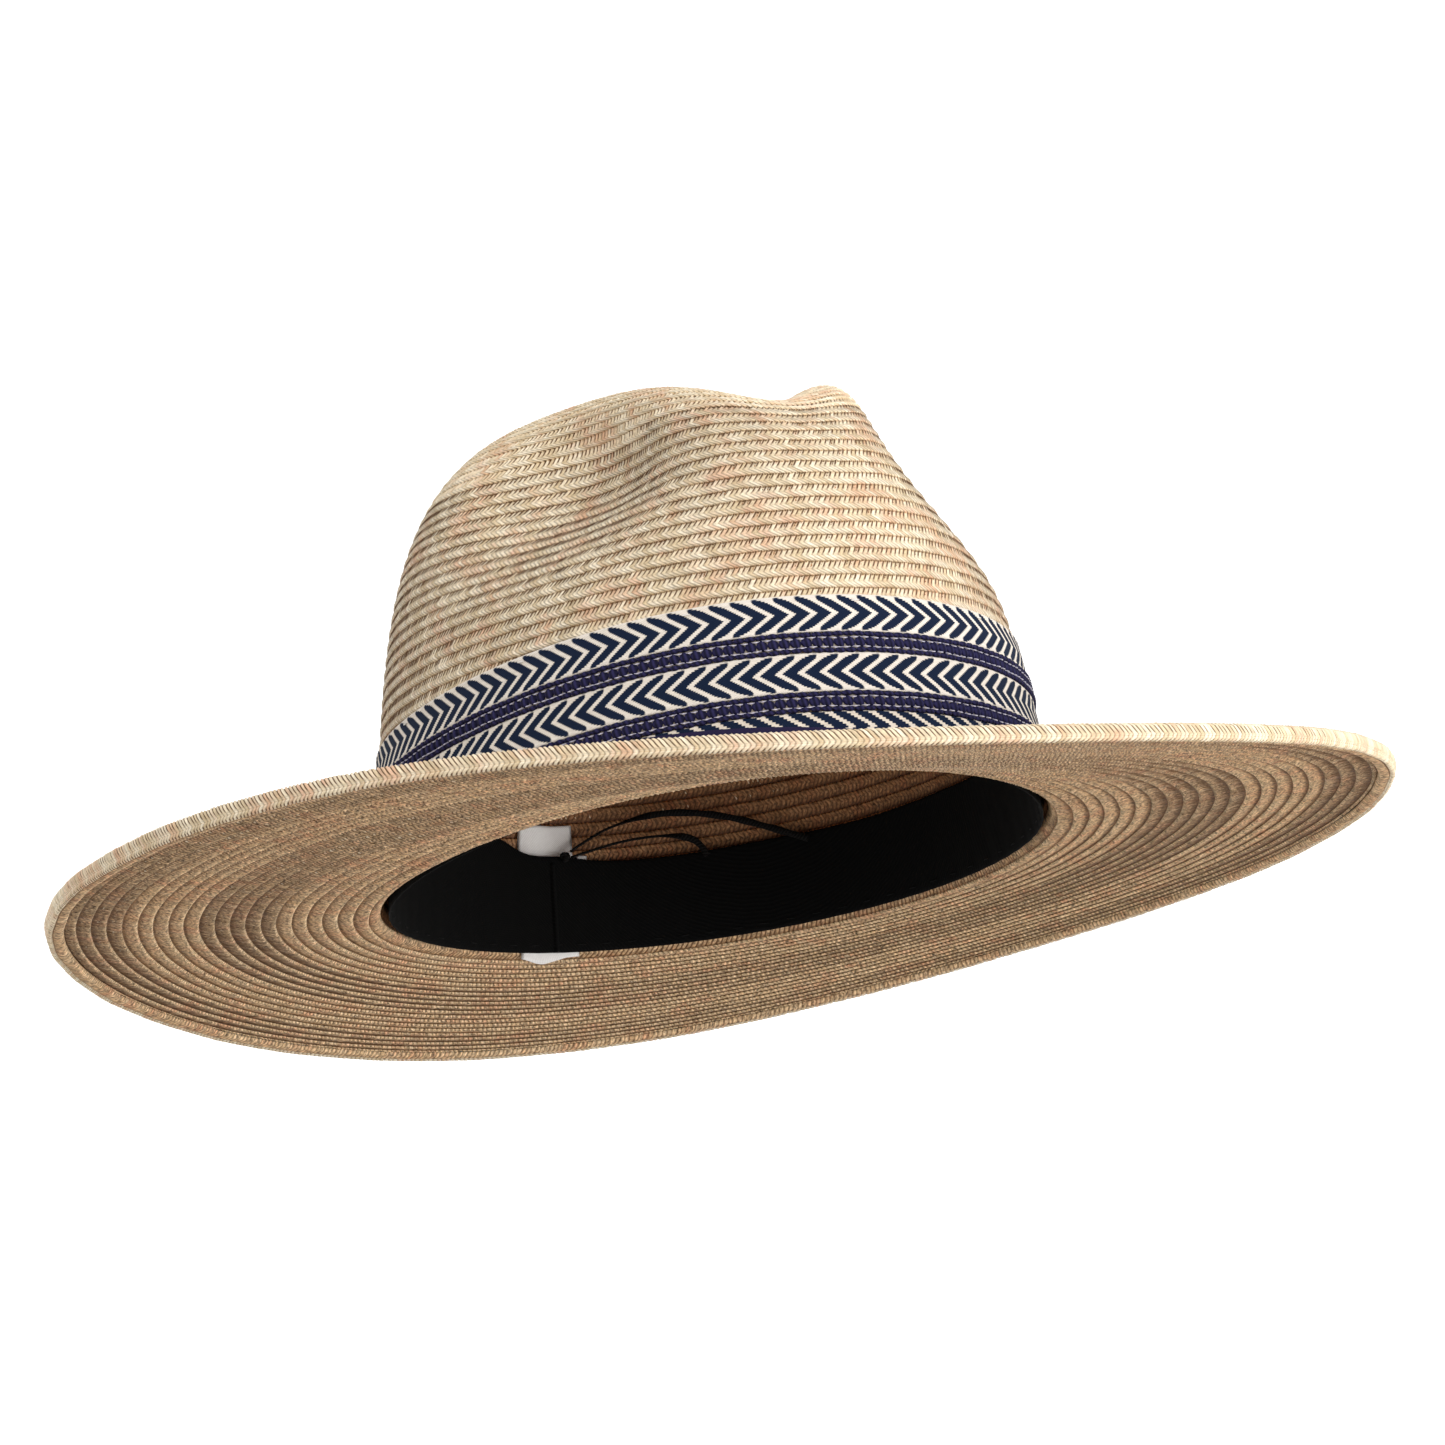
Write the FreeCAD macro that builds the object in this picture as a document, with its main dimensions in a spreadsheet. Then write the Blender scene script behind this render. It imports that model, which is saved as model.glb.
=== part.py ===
import FreeCAD, Part
import Sketcher
import math
import os
from types import SimpleNamespace

# A braided straw fedora: a crown and a brim sewn from one spiral of braid, a rolled brim edge
# with a wire in it, a hat band of woven and crocheted tapes, and a sweatband with its drawcord.
# Millimetres. The origin is the middle of the head opening, at the crown's foot. +Z is up,
# -Y is the front of the hat and +X is the wearer's left.

os.makedirs("parts", exist_ok=True)
doc = FreeCAD.newDocument("fedora")

# ---------------------------------------------------------------- driving dimensions
DIMENSIONS = {
    # crown before it is pressed: a dome on an oval foot
    "CrownHalfWidth": 83.1,
    "CrownHalfLength": 104.9,
    "CrownFrontExtra": 3.0,
    "CrownHeight": 122.6,
    "CrownSideTaper": 0.182,
    "CrownFrontTaper": 0.103,
    "CrownBackTaper": 0.168,
    "CrownPlanPower": 3.92,
    "CrownRisePower": 4.228,
    "StrawThickness": 1.6,
    # crease pressed along the top
    "CreaseDepth": 19.1,
    "CreaseHalfWidth": 27.6,
    "CreaseSpread": 0.00498,
    "CreaseMiddle": -4.1,
    "CreaseHalfLength": 70.8,
    "CreaseFadeFoot": 49.0,
    "CreaseFadeReach": 61.3,
    # two pinches pressed into the front
    "PinchDepth": 27.0,
    "PinchShift": 8.1,
    "PinchAcross": 52.7,
    "PinchForward": 39.9,
    "PinchHeight": 92.2,
    "PinchReachAcross": 42.5,
    "PinchReachFront": 37.3,
    "PinchReachBack": 29.5,
    "PinchReachUp": 22.0,
    "PinchReachDown": 20.7,
    "PinchSlant": 0.293,
    "PinchBlend": 8.4,
    # brim
    "BrimWidth": 83.9,
    "BrimFrontExtra": 1.76,
    "BrimRest": -1.45,
    "BrimFrontLift": 0.05,
    "BrimSideLift": 6.43,
    "BrimFourLift": -1.235,
    "BrimTilt": -1.39,
    "BrimThickness": 2.2,
    "BindingWidth": 4.4,
    "BindingThickness": 1.1,
    "WireRadius": 0.6,
    "SleeveLength": 8.0,
    "SleeveBore": 0.72,
    "SleeveRadius": 0.9,
    # hat band
    "BandTop": 44.3,
    "BandFrontLift": 1.5,
    "BandSideDrop": 1.05,
    "BandTilt": 1.0,
    "BandTwist": 1.9,
    "TapeThickness": 0.7,
    "TrimThickness": 1.1,
    "LayerGap": 0.15,
    "UpperTapeWidth": 9.7,
    "UpperTrimWidth": 5.2,
    "LowerTapeWidth": 10.0,
    "LowerTrimWidth": 5.0,
    "EdgeTapeTop": 8.0,
    "EdgeTapeFoot": 2.1,
    "KeeperWidth": 9.0,
    "KeeperThickness": 0.6,
    "KeeperRise": 1.0,
    "RowGap": 0.05,
    "TackDrop": 1.6,
    "TackLength": 2.4,
    "ThreadThickness": 0.3,
    # sweatband, labels and drawcord
    "SweatbandFoot": 0.4,
    "SweatbandTop": 23.4,
    "SweatbandGap": 1.8,
    "SweatbandThickness": 0.6,
    "SeamWidth": 3.0,
    "SeamThickness": 0.3,
    "LiningStitchRise": 2.0,
    "LiningStitchLength": 3.0,
    "LabelMiddle": -4.4,
    "LabelWidth": 17.0,
    "LabelFoot": -1.8,
    "LabelTop": 33.5,
    "LabelThickness": 0.2,
    "SizeLabelMiddle": 5.6,
    "SizeLabelWidth": 3.4,
    "SizeLabelFoot": 22.6,
    "SizeLabelTop": 25.6,
    "SizeLabelGap": 0.45,
    "SizeLabelThickness": 0.15,
    "CordWidth": 1.6,
    "CordThickness": 0.6,
    "CordDiameter": 1.4,
    "RingHeight": 20.6,
    "RingGap": 0.4,
    "RingOpening": 2.4,
    "LegAside": 0.88,
    "LegFoot": 5.0,
    "LegLength": 20.4,
    "KnotHeight": 25.8,
    "KnotRadius": 1.7,
    "KnotDepth": 2.4,
    "KnotOut": 4.7,
}

sheet = doc.addObject("Spreadsheet::Sheet", "Dimensions")
for row, (name, value) in enumerate(DIMENSIONS.items(), start=1):
    sheet.set(f"A{row}", name)
    sheet.set(f"B{row}", str(value))
    sheet.setAlias(f"B{row}", name)
doc.recompute()

hat = SimpleNamespace(**{name: float(sheet.get(name)) for name in DIMENSIONS})

# ---------------------------------------------------------------- the hat's surfaces
TURN = 2 * math.pi
BACK = math.pi / 2
RING_POINTS = 72
CROWN_RINGS = 22
DOME_SAMPLES = 400
# small steps that give a surface's slope: an angle or a share of the radius, and a height
NORMAL_STEP = 0.01
RISE_STEP = 1.0
# share of the dome's radius past which its side is steep, so its slope is taken by height
SIDE_SHARE = 0.9
# height under which a ring is the crown's foot
FOOT_RISE = 0.01
# share of the shorter run beside a bend in a cord that its arc takes up
BEND_SHARE = 0.45


def foot_point(angle):
    """Point of the crown's oval foot on the straw's outer face, and its outward normal."""
    across = hat.CrownHalfWidth
    along = hat.CrownHalfLength - hat.CrownFrontExtra * math.copysign(1, math.sin(angle))
    normal = FreeCAD.Vector(math.cos(angle) / across, math.sin(angle) / along, 0).normalize()
    return FreeCAD.Vector(across * math.cos(angle), along * math.sin(angle), 0), normal


def dome_point(angle, share, rise):
    """Point of the dome before pressing, for one share of its radius and one height."""
    climb = rise / hat.CrownHeight
    foot, _ = foot_point(angle)
    taper = hat.CrownFrontTaper if math.sin(angle) < 0 else hat.CrownBackTaper
    x = foot.x * share * (1 - hat.CrownSideTaper * climb)
    y = foot.y * share * (1 - taper * climb)
    return FreeCAD.Vector(x, y, rise)


def press(point):
    """Where the crease and the two pinches put a point of the dome."""
    half_width = hat.CreaseHalfWidth * (1 + hat.CreaseSpread * point.y)
    fade = min(max((point.z - hat.CreaseFadeFoot) / hat.CreaseFadeReach, 0), 1)
    along = abs((point.y - hat.CreaseMiddle) / hat.CreaseHalfLength)
    drop = hat.CreaseDepth * fade * math.exp(-(point.x / half_width) ** 2 - along ** 4)

    up = point.z - hat.PinchHeight
    back = point.y + hat.PinchForward - hat.PinchSlant * up
    above = 0.5 * (1 + math.tanh(up / hat.PinchBlend))
    behind = 0.5 * (1 + math.tanh(back / hat.PinchBlend))
    reach_up = hat.PinchReachUp * above + hat.PinchReachDown * (1 - above)
    reach_back = hat.PinchReachBack * behind + hat.PinchReachFront * (1 - behind)
    moved = FreeCAD.Vector(point.x, point.y, point.z - drop)
    for side in (1, -1):
        across = (point.x - side * hat.PinchAcross) / hat.PinchReachAcross
        weight = math.exp(-across ** 2 - (back / reach_back) ** 2 - (up / reach_up) ** 2)
        moved.x -= side * hat.PinchDepth * weight
        moved.y += hat.PinchShift * weight
    return moved


def share_at(rise):
    """Share of its full radius that the dome has at one height."""
    phase = math.acos((rise / hat.CrownHeight) ** (hat.CrownRisePower / 2))
    return math.sin(phase) ** (2 / hat.CrownPlanPower)


def dome_height(share):
    """Height of the dome at one share of its radius."""
    phase = math.asin(min(share, 1.0) ** (hat.CrownPlanPower / 2))
    return hat.CrownHeight * math.cos(phase) ** (2 / hat.CrownRisePower)


def dome_levels():
    """Radius share and height of even steps down the dome's side, from near its tip to its foot."""
    radius = 0.5 * (hat.CrownHalfWidth + hat.CrownHalfLength)
    profile = []
    for step in range(DOME_SAMPLES + 1):
        phase = BACK * step / DOME_SAMPLES
        share = math.sin(phase) ** (2 / hat.CrownPlanPower)
        rise = hat.CrownHeight * max(math.cos(phase), 0) ** (2 / hat.CrownRisePower)
        profile.append((share, rise))
    run = [0.0]
    for (share, rise), (next_share, next_rise) in zip(profile, profile[1:]):
        run.append(run[-1] + math.hypot(radius * (next_share - share), next_rise - rise))
    levels = []
    for ring in range(1, CROWN_RINGS + 1):
        wanted = run[-1] * ring / CROWN_RINGS
        step = next(i for i, length in enumerate(run) if length >= wanted - 1e-9)
        part = (wanted - run[step - 1]) / (run[step] - run[step - 1])
        low, high = profile[step - 1], profile[step]
        levels.append(tuple(a + part * (b - a) for a, b in zip(low, high)))
    return levels


def crown_normal(angle, share, rise):
    """Outward normal of the pressed crown, from small steps round it and down it."""
    before = press(dome_point(angle - NORMAL_STEP, share, rise))
    round_it = press(dome_point(angle + NORMAL_STEP, share, rise)) - before
    if share < SIDE_SHARE:
        wider = share + NORMAL_STEP
        narrower = share - NORMAL_STEP
        down = press(dome_point(angle, wider, dome_height(wider)))
        down -= press(dome_point(angle, narrower, dome_height(narrower)))
    else:
        lower = max(rise - RISE_STEP / 2, 0)
        higher = lower + RISE_STEP
        down = press(dome_point(angle, share_at(lower), lower))
        down -= press(dome_point(angle, share_at(higher), higher))
    return down.cross(round_it).normalize()


def crown_point(angle, share, rise, depth):
    """Point of the pressed crown, sunk below its outer face by depth."""
    return press(dome_point(angle, share, rise)) - crown_normal(angle, share, rise) * depth


def wall_point(angle, rise, out):
    """Point beside the crown's lower wall, level with its outer face's point and out from it."""
    _, normal = foot_point(angle)
    on_wall = max(rise, 0)
    below_foot = FreeCAD.Vector(0, 0, min(rise, 0))
    return press(dome_point(angle, share_at(on_wall), on_wall)) + normal * out + below_foot


def brim_point(angle, short, up):
    """Point of the brim, this far short of its edge and above its middle surface."""
    foot, normal = foot_point(angle)
    width = hat.BrimWidth - hat.BrimFrontExtra * math.sin(angle)
    edge = hat.BrimRest - hat.BrimFrontLift * math.sin(angle) + hat.BrimTilt * math.cos(angle)
    edge += hat.BrimSideLift * math.cos(2 * angle) + hat.BrimFourLift * math.cos(4 * angle)
    out = width - short
    return foot + normal * out + FreeCAD.Vector(0, 0, edge * out / width + up)


def brim_foot(angle, gap, up):
    """Point of the brim beside the crown's foot, this gap out from it."""
    foot, normal = foot_point(angle)
    return foot + normal * gap + FreeCAD.Vector(0, 0, up)


def band_top(angle):
    """Height of the hat band's top edge, which sits a little askew."""
    height = hat.BandTop - hat.BandFrontLift * math.sin(angle) + hat.BandTilt * math.cos(angle)
    return height - hat.BandSideDrop * math.cos(2 * angle) + hat.BandTwist * math.sin(2 * angle)


# ---------------------------------------------------------------- builders
def ring_curve(point_at):
    """Closed smooth edge round the hat, which starts and ends at the back."""
    points = [point_at(BACK + TURN * i / RING_POINTS) for i in range(RING_POINTS)]
    curve = Part.BSplineCurve()
    curve.interpolate(Points=points, PeriodicFlag=True)
    return curve.toShape()


def arc_curve(point_at, start, stop, points):
    """Open smooth edge from one angle to another."""
    curve = Part.BSplineCurve()
    curve.interpolate([point_at(start + (stop - start) * i / (points - 1)) for i in range(points)])
    return curve.toShape()


def closed_solid(faces):
    """Solid inside these faces."""
    shell = Part.Shell(faces)
    shell.sewShape()
    solid = Part.Solid(Part.Shell(shell.Faces))
    if solid.Volume < 0:
        solid.reverse()
    return solid


def ring_solid(corners):
    """Closed ring whose cross-section has these corners, each a function of the angle."""
    edges = [ring_curve(corner) for corner in corners]
    return closed_solid([Part.makeRuledSurface(a, b) for a, b in zip(edges, edges[1:] + edges[:1])])


def strip_solid(corners, start, stop, points=7):
    """Stretch of such a ring from one angle to another, with flat ends."""
    edges = [arc_curve(corner, start, stop, points) for corner in corners]
    faces = [Part.makeRuledSurface(a, b) for a, b in zip(edges, edges[1:] + edges[:1])]
    for angle in (start, stop):
        outline = [corner(angle) for corner in corners]
        faces.append(Part.Face(Part.makePolygon(outline + outline[:1])))
    return closed_solid(faces)


def wall_corners(inner, outer, low, high):
    """Corners of a strip that lies against the crown's wall; low and high are functions."""
    return [
        lambda angle: wall_point(angle, low(angle), inner),
        lambda angle: wall_point(angle, low(angle), outer),
        lambda angle: wall_point(angle, high(angle), outer),
        lambda angle: wall_point(angle, high(angle), inner),
    ]


def level(height):
    """Height that is the same all round."""
    return lambda angle: height


def below_band_top(drop):
    """Height this far below the band's top edge."""
    return lambda angle: band_top(angle) - drop


def back_angle(across):
    """Angle of the point of the back wall this far to the wearer's left of its middle."""
    return BACK - across / hat.CrownHalfWidth


def feature(label, shape):
    """Object of the document for a piece whose shape is made by the functions here."""
    piece = doc.addObject("Part::Feature", label)
    piece.Label = label
    piece.Shape = shape
    piece.Placement = FreeCAD.Placement()
    return piece


pieces = []

# ---------------------------------------------------------------- crown
def crown_solid(depth, floor):
    """Solid dome under the surface that lies depth below the straw's outer face."""
    wires = []
    for share, rise in dome_levels():
        def point_at(angle, share=share, rise=rise):
            point = crown_point(angle, share, rise, depth)
            if rise < FOOT_RISE:
                point.z = floor
            return point
        wires.append(Part.Wire(ring_curve(point_at)))
    tip = press(dome_point(0, 0, hat.CrownHeight)) - FreeCAD.Vector(0, 0, depth)
    return Part.makeLoft([Part.Vertex(tip)] + wires, True, False)


underside = -hat.BrimThickness / 2
hollow = crown_solid(hat.StrawThickness, underside - 1)
crown = crown_solid(0, underside).cut(hollow)
pieces.append(feature("crown_braid", crown.Solids[0]))

# ---------------------------------------------------------------- brim
wire_short = hat.BindingThickness + hat.LayerGap + hat.SleeveRadius
brim_short = wire_short + hat.SleeveRadius + hat.LayerGap
upper = hat.BrimThickness / 2
pieces.append(feature("brim_braid", ring_solid([
    lambda angle: brim_foot(angle, hat.LayerGap, -upper),
    lambda angle: brim_point(angle, brim_short, -upper),
    lambda angle: brim_point(angle, brim_short, upper),
    lambda angle: brim_foot(angle, hat.LayerGap, upper),
])))

binding_lining = upper + hat.LayerGap
binding_face = binding_lining + hat.BindingThickness
binding_section = [
    (hat.BindingWidth, binding_face),
    (hat.BindingThickness, binding_face),
    (0, binding_lining),
    (0, -binding_lining),
    (hat.BindingThickness, -binding_face),
    (hat.BindingWidth, -binding_face),
    (hat.BindingWidth, -binding_lining),
    (hat.BindingThickness, -binding_lining),
    (hat.BindingThickness, binding_lining),
    (hat.BindingWidth, binding_lining),
]
pieces.append(feature("brim_edge_binding", ring_solid([
    lambda angle, short=short, up=up: brim_point(angle, short, up) for short, up in binding_section
])))

WIRE_SIDES = 8
wire_section = [
    (wire_short + hat.WireRadius * math.cos(turn), hat.WireRadius * math.sin(turn))
    for turn in (TURN * side / WIRE_SIDES for side in range(WIRE_SIDES))
]
pieces.append(feature("brim_edge_wire", ring_solid([
    lambda angle, short=short, up=up: brim_point(angle, short, up) for short, up in wire_section
])))

sleeve_cutters = {}
for label, radius in (("sleeve_outside", "SleeveRadius"), ("sleeve_bore", "SleeveBore")):
    cylinder = doc.addObject("Part::Cylinder", label)
    cylinder.setExpression("Radius", f"<<Dimensions>>.{radius}")
    cylinder.setExpression("Height", "<<Dimensions>>.SleeveLength")
    sleeve_cutters[label] = cylinder
sleeve = doc.addObject("Part::Cut", "edge_wire_sleeve")
sleeve.Base = sleeve_cutters["sleeve_outside"]
sleeve.Tool = sleeve_cutters["sleeve_bore"]
sleeve_start = brim_point(BACK, wire_short, 0) - FreeCAD.Vector(hat.SleeveLength / 2, 0, 0)
sleeve.Placement = FreeCAD.Placement(sleeve_start, FreeCAD.Rotation(FreeCAD.Vector(0, 1, 0), 90))
pieces.append(sleeve)

# ---------------------------------------------------------------- hat band
band_rows = [
    ("chevron_tape_upper", hat.UpperTapeWidth, hat.TapeThickness),
    ("crochet_trim_upper", hat.UpperTrimWidth, hat.TrimThickness),
    ("chevron_tape_lower", hat.LowerTapeWidth, hat.TapeThickness),
    ("crochet_trim_lower", hat.LowerTrimWidth, hat.TrimThickness),
]
inner = hat.LayerGap
drop = 0
for label, width, thickness in band_rows:
    row_foot = below_band_top(drop + width - hat.RowGap)
    row_top = below_band_top(drop + hat.RowGap)
    pieces.append(feature(label, ring_solid(wall_corners(inner, inner + thickness, row_foot, row_top))))
    drop += width
pieces.append(feature("chevron_tape_bottom", ring_solid(wall_corners(
    inner, inner + hat.TapeThickness,
    level(hat.EdgeTapeTop + hat.RowGap), below_band_top(drop + hat.RowGap)))))
pieces.append(feature("navy_edge_tape", ring_solid(wall_corners(
    inner, inner + hat.TapeThickness, level(hat.EdgeTapeFoot), level(hat.EdgeTapeTop - hat.RowGap)))))

keeper_inner = inner + hat.TrimThickness + 2 * hat.LayerGap
pieces.append(feature("band_keeper", strip_solid(
    wall_corners(keeper_inner, keeper_inner + hat.KeeperThickness,
                 level(hat.EdgeTapeFoot), below_band_top(-hat.KeeperRise)),
    back_angle(-hat.KeeperWidth / 2), back_angle(hat.KeeperWidth / 2))))


def stitches(angles, rise, out, length):
    """Short straight stitches laid along the wall, one at each angle."""
    thickness = hat.ThreadThickness
    row = []
    for angle in angles:
        _, normal = foot_point(angle)
        middle = wall_point(angle, rise(angle), out)
        corner = FreeCAD.Vector(-length / 2, -thickness / 2, 0)
        stitch = Part.makeBox(length, thickness, thickness, corner)
        heading = math.degrees(math.atan2(normal.x, -normal.y))
        stitch.Placement = FreeCAD.Placement(middle, FreeCAD.Rotation(FreeCAD.Vector(0, 0, 1), heading))
        row.append(stitch)
    return Part.Compound(row)


TACKS = 12
pieces.append(feature("band_tack_stitches", stitches(
    [TURN * i / TACKS for i in range(TACKS)], below_band_top(hat.TackDrop),
    inner + hat.TapeThickness + hat.LayerGap + hat.ThreadThickness / 2, hat.TackLength)))

# ---------------------------------------------------------------- sweatband
lining = hat.StrawThickness + hat.SweatbandGap
face = lining + hat.SweatbandThickness
pieces.append(feature("sweatband", ring_solid(wall_corners(
    -face, -lining, level(hat.SweatbandFoot), level(hat.SweatbandTop)))))
seam_face = -face - hat.RowGap - hat.SeamThickness
pieces.append(feature("sweatband_back_seam", strip_solid(
    wall_corners(seam_face, -face - hat.RowGap, level(hat.SweatbandFoot), level(hat.SweatbandTop)),
    back_angle(-hat.SeamWidth / 2), back_angle(hat.SeamWidth / 2))))
LINING_STITCHES = 72
pieces.append(feature("sweatband_stitches", stitches(
    [BACK + TURN * (i + 0.5) / LINING_STITCHES for i in range(LINING_STITCHES)],
    level(hat.LiningStitchRise), seam_face - hat.ThreadThickness, hat.LiningStitchLength)))

label_outer = hat.StrawThickness + hat.RowGap
label_inner = label_outer + hat.LabelThickness
pieces.append(feature("care_label", strip_solid(
    wall_corners(-label_inner, -label_outer, level(hat.LabelFoot), level(hat.LabelTop)),
    back_angle(hat.LabelMiddle - hat.LabelWidth / 2), back_angle(hat.LabelMiddle + hat.LabelWidth / 2))))
size_label_inner = -label_inner - hat.SizeLabelGap - hat.SizeLabelThickness
pieces.append(feature("size_label", strip_solid(
    wall_corners(size_label_inner, size_label_inner + hat.SizeLabelThickness,
                 level(hat.SizeLabelFoot), level(hat.SizeLabelTop)),
    back_angle(hat.SizeLabelMiddle - hat.SizeLabelWidth / 2),
    back_angle(hat.SizeLabelMiddle + hat.SizeLabelWidth / 2))))

# ---------------------------------------------------------------- drawcord
cord_outer = label_inner + hat.RingGap
cord_inner = cord_outer + hat.CordThickness
pieces.append(feature("drawcord_ring", strip_solid(
    wall_corners(-cord_inner, -cord_outer, level(hat.RingHeight), level(hat.RingHeight + hat.CordWidth)),
    back_angle(-hat.RingOpening), back_angle(hat.RingOpening) + TURN, RING_POINTS)))

leg_foot = wall_point(BACK, hat.LegFoot, -(cord_outer + cord_inner) / 2)
leg_top = wall_point(BACK, hat.KnotHeight + hat.LegLength, -(cord_outer + cord_inner) / 2)
lean = math.degrees(math.atan2(leg_foot.y - leg_top.y, leg_top.z - leg_foot.z))


def flat_bar(label, width, thickness, length):
    """Upright bar with a rectangular section, as a sketch and a pad bound to the sheet."""
    body = doc.addObject("PartDesign::Body", label)
    plane = next(item for item in body.Origin.OriginFeatures if item.Role == "XY_Plane")
    sketch = body.newObject("Sketcher::SketchObject", label + "_section")
    sketch.AttachmentSupport = [(plane, "")]
    sketch.MapMode = "FlatFace"
    half_width = getattr(hat, width) / 2
    half_thickness = getattr(hat, thickness) / 2
    points = [
        FreeCAD.Vector(x * half_width, y * half_thickness, 0)
        for x, y in ((-1, -1), (1, -1), (1, 1), (-1, 1))
    ]
    for a, b in zip(points, points[1:] + points[:1]):
        sketch.addGeometry(Part.LineSegment(a, b), False)
    for side in range(4):
        sketch.addConstraint(Sketcher.Constraint("Coincident", side, 2, (side + 1) % 4, 1))
    for side in (0, 2):
        sketch.addConstraint(Sketcher.Constraint("Horizontal", side))
        sketch.addConstraint(Sketcher.Constraint("Vertical", side + 1))
    sketch.addConstraint(Sketcher.Constraint("Symmetric", 0, 1, 1, 2, -1, 1))
    across = sketch.addConstraint(Sketcher.Constraint("DistanceX", 0, 1, 0, 2, 2 * half_width))
    through = sketch.addConstraint(Sketcher.Constraint("DistanceY", 1, 1, 1, 2, 2 * half_thickness))
    sketch.setExpression(f"Constraints[{across}]", f"<<Dimensions>>.{width}")
    sketch.setExpression(f"Constraints[{through}]", f"<<Dimensions>>.{thickness}")
    pad = body.newObject("PartDesign::Pad", label + "_pad")
    pad.Profile = sketch
    pad.setExpression("Length", f"<<Dimensions>>.{length}")
    body.Tip = pad
    return body


for label, side in (("drawcord_leg_left", 1), ("drawcord_leg_right", -1)):
    leg = flat_bar(label, "CordWidth", "CordThickness", "LegLength")
    start = leg_foot + FreeCAD.Vector(side * hat.LegAside, 0, 0)
    leg.Placement = FreeCAD.Placement(start, FreeCAD.Rotation(FreeCAD.Vector(1, 0, 0), lean))
    pieces.append(leg)

knot = doc.addObject("Part::Ellipsoid", "drawcord_knot")
knot.setExpression("Radius1", "<<Dimensions>>.KnotRadius")
knot.setExpression("Radius2", "<<Dimensions>>.KnotRadius")
knot.setExpression("Radius3", "<<Dimensions>>.KnotDepth")
knot.Placement.Base = wall_point(BACK, hat.KnotHeight, -hat.KnotOut)
pieces.append(knot)

# The free tails are round cords here, each with its route as points and tangent arcs between.
TAIL_ROUTES = {
    "drawcord_tail_long": [
        (1.5, 92.9, 26.3), (8.0, 92.0, 30.2), (15.5, 90.0, 33.0), (25.0, 86.3, 34.5),
        (34.0, 81.6, 33.2), (42.0, 76.0, 30.3), (49.5, 69.5, 25.8), (56.0, 62.5, 21.4),
    ],
    "drawcord_tail_short": [
        (1.6, 93.0, 24.7), (9.0, 92.3, 26.8), (17.0, 90.2, 28.3), (24.5, 87.5, 28.6),
        (30.5, 84.7, 27.8), (34.3, 82.9, 25.4), (35.6, 82.4, 21.9),
    ],
}


def cord_solid(route):
    """Round cord along straight runs that tangent arcs join."""
    points = [FreeCAD.Vector(*point) for point in route]
    edges = []
    start = points[0]
    for before, corner, after in zip(points, points[1:], points[2:]):
        toward = (before - corner).normalize()
        onward = (after - corner).normalize()
        half_turn = (math.pi - toward.getAngle(onward)) / 2
        reach = BEND_SHARE * min((before - corner).Length, (after - corner).Length)
        radius = reach / math.tan(half_turn)
        bisector = (toward + onward).normalize()
        arc_start = corner + toward * reach
        arc_stop = corner + onward * reach
        arc_middle = corner + bisector * (radius / math.cos(half_turn) - radius)
        edges.append(Part.LineSegment(start, arc_start).toShape())
        edges.append(Part.Arc(arc_start, arc_middle, arc_stop).toShape())
        start = arc_stop
    edges.append(Part.LineSegment(start, points[-1]).toShape())
    path = Part.Wire(edges)
    section = Part.Wire(Part.makeCircle(hat.CordDiameter / 2, points[0], points[1] - points[0]))
    return path.makePipeShell([section], True, False)


for label, route in TAIL_ROUTES.items():
    pieces.append(feature(label, cord_solid(route)))

# ---------------------------------------------------------------- checks and files
doc.recompute()
for item in doc.Objects:
    if "Invalid" in item.State or "Error" in item.State:
        raise RuntimeError(f"{item.Label} failed: {item.State}")
for piece in pieces:
    if piece.Shape.isNull() or not piece.Shape.isValid():
        raise RuntimeError(f"{piece.Label} has no valid shape")
    box = piece.Shape.BoundBox
    print(f"{piece.Label}: {len(piece.Shape.Solids)} solids, {piece.Shape.Volume:.1f} mm3, "
          f"z {box.ZMin:.1f} to {box.ZMax:.1f}")
    piece.Shape.exportStep(f"parts/{piece.Label}.step")
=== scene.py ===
import math

import bmesh
import bpy
import numpy as np
from mathutils import Matrix, Vector


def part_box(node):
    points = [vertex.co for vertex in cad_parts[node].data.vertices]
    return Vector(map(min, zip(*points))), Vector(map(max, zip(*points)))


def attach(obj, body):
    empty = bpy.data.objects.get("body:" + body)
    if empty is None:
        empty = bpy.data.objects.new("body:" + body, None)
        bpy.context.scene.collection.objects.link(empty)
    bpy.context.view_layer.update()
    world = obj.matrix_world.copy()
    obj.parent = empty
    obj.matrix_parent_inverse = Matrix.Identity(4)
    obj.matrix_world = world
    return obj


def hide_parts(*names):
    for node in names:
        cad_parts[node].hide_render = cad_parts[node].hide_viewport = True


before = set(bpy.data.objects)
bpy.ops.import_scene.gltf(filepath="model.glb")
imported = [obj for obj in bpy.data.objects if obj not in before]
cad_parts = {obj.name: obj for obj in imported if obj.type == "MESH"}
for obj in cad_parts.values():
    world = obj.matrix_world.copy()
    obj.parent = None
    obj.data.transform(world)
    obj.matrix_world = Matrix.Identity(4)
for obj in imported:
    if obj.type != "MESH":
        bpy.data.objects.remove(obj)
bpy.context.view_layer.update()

# A braided straw fedora. Shapes are worked out in millimetres and put in their meshes in metres.
# +Z is up, -Y is the front of the hat and +X is the wearer's left.
MM = 0.001
TURN = 2 * math.pi
BACK = math.pi / 2
chance = np.random.default_rng(11)

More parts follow.
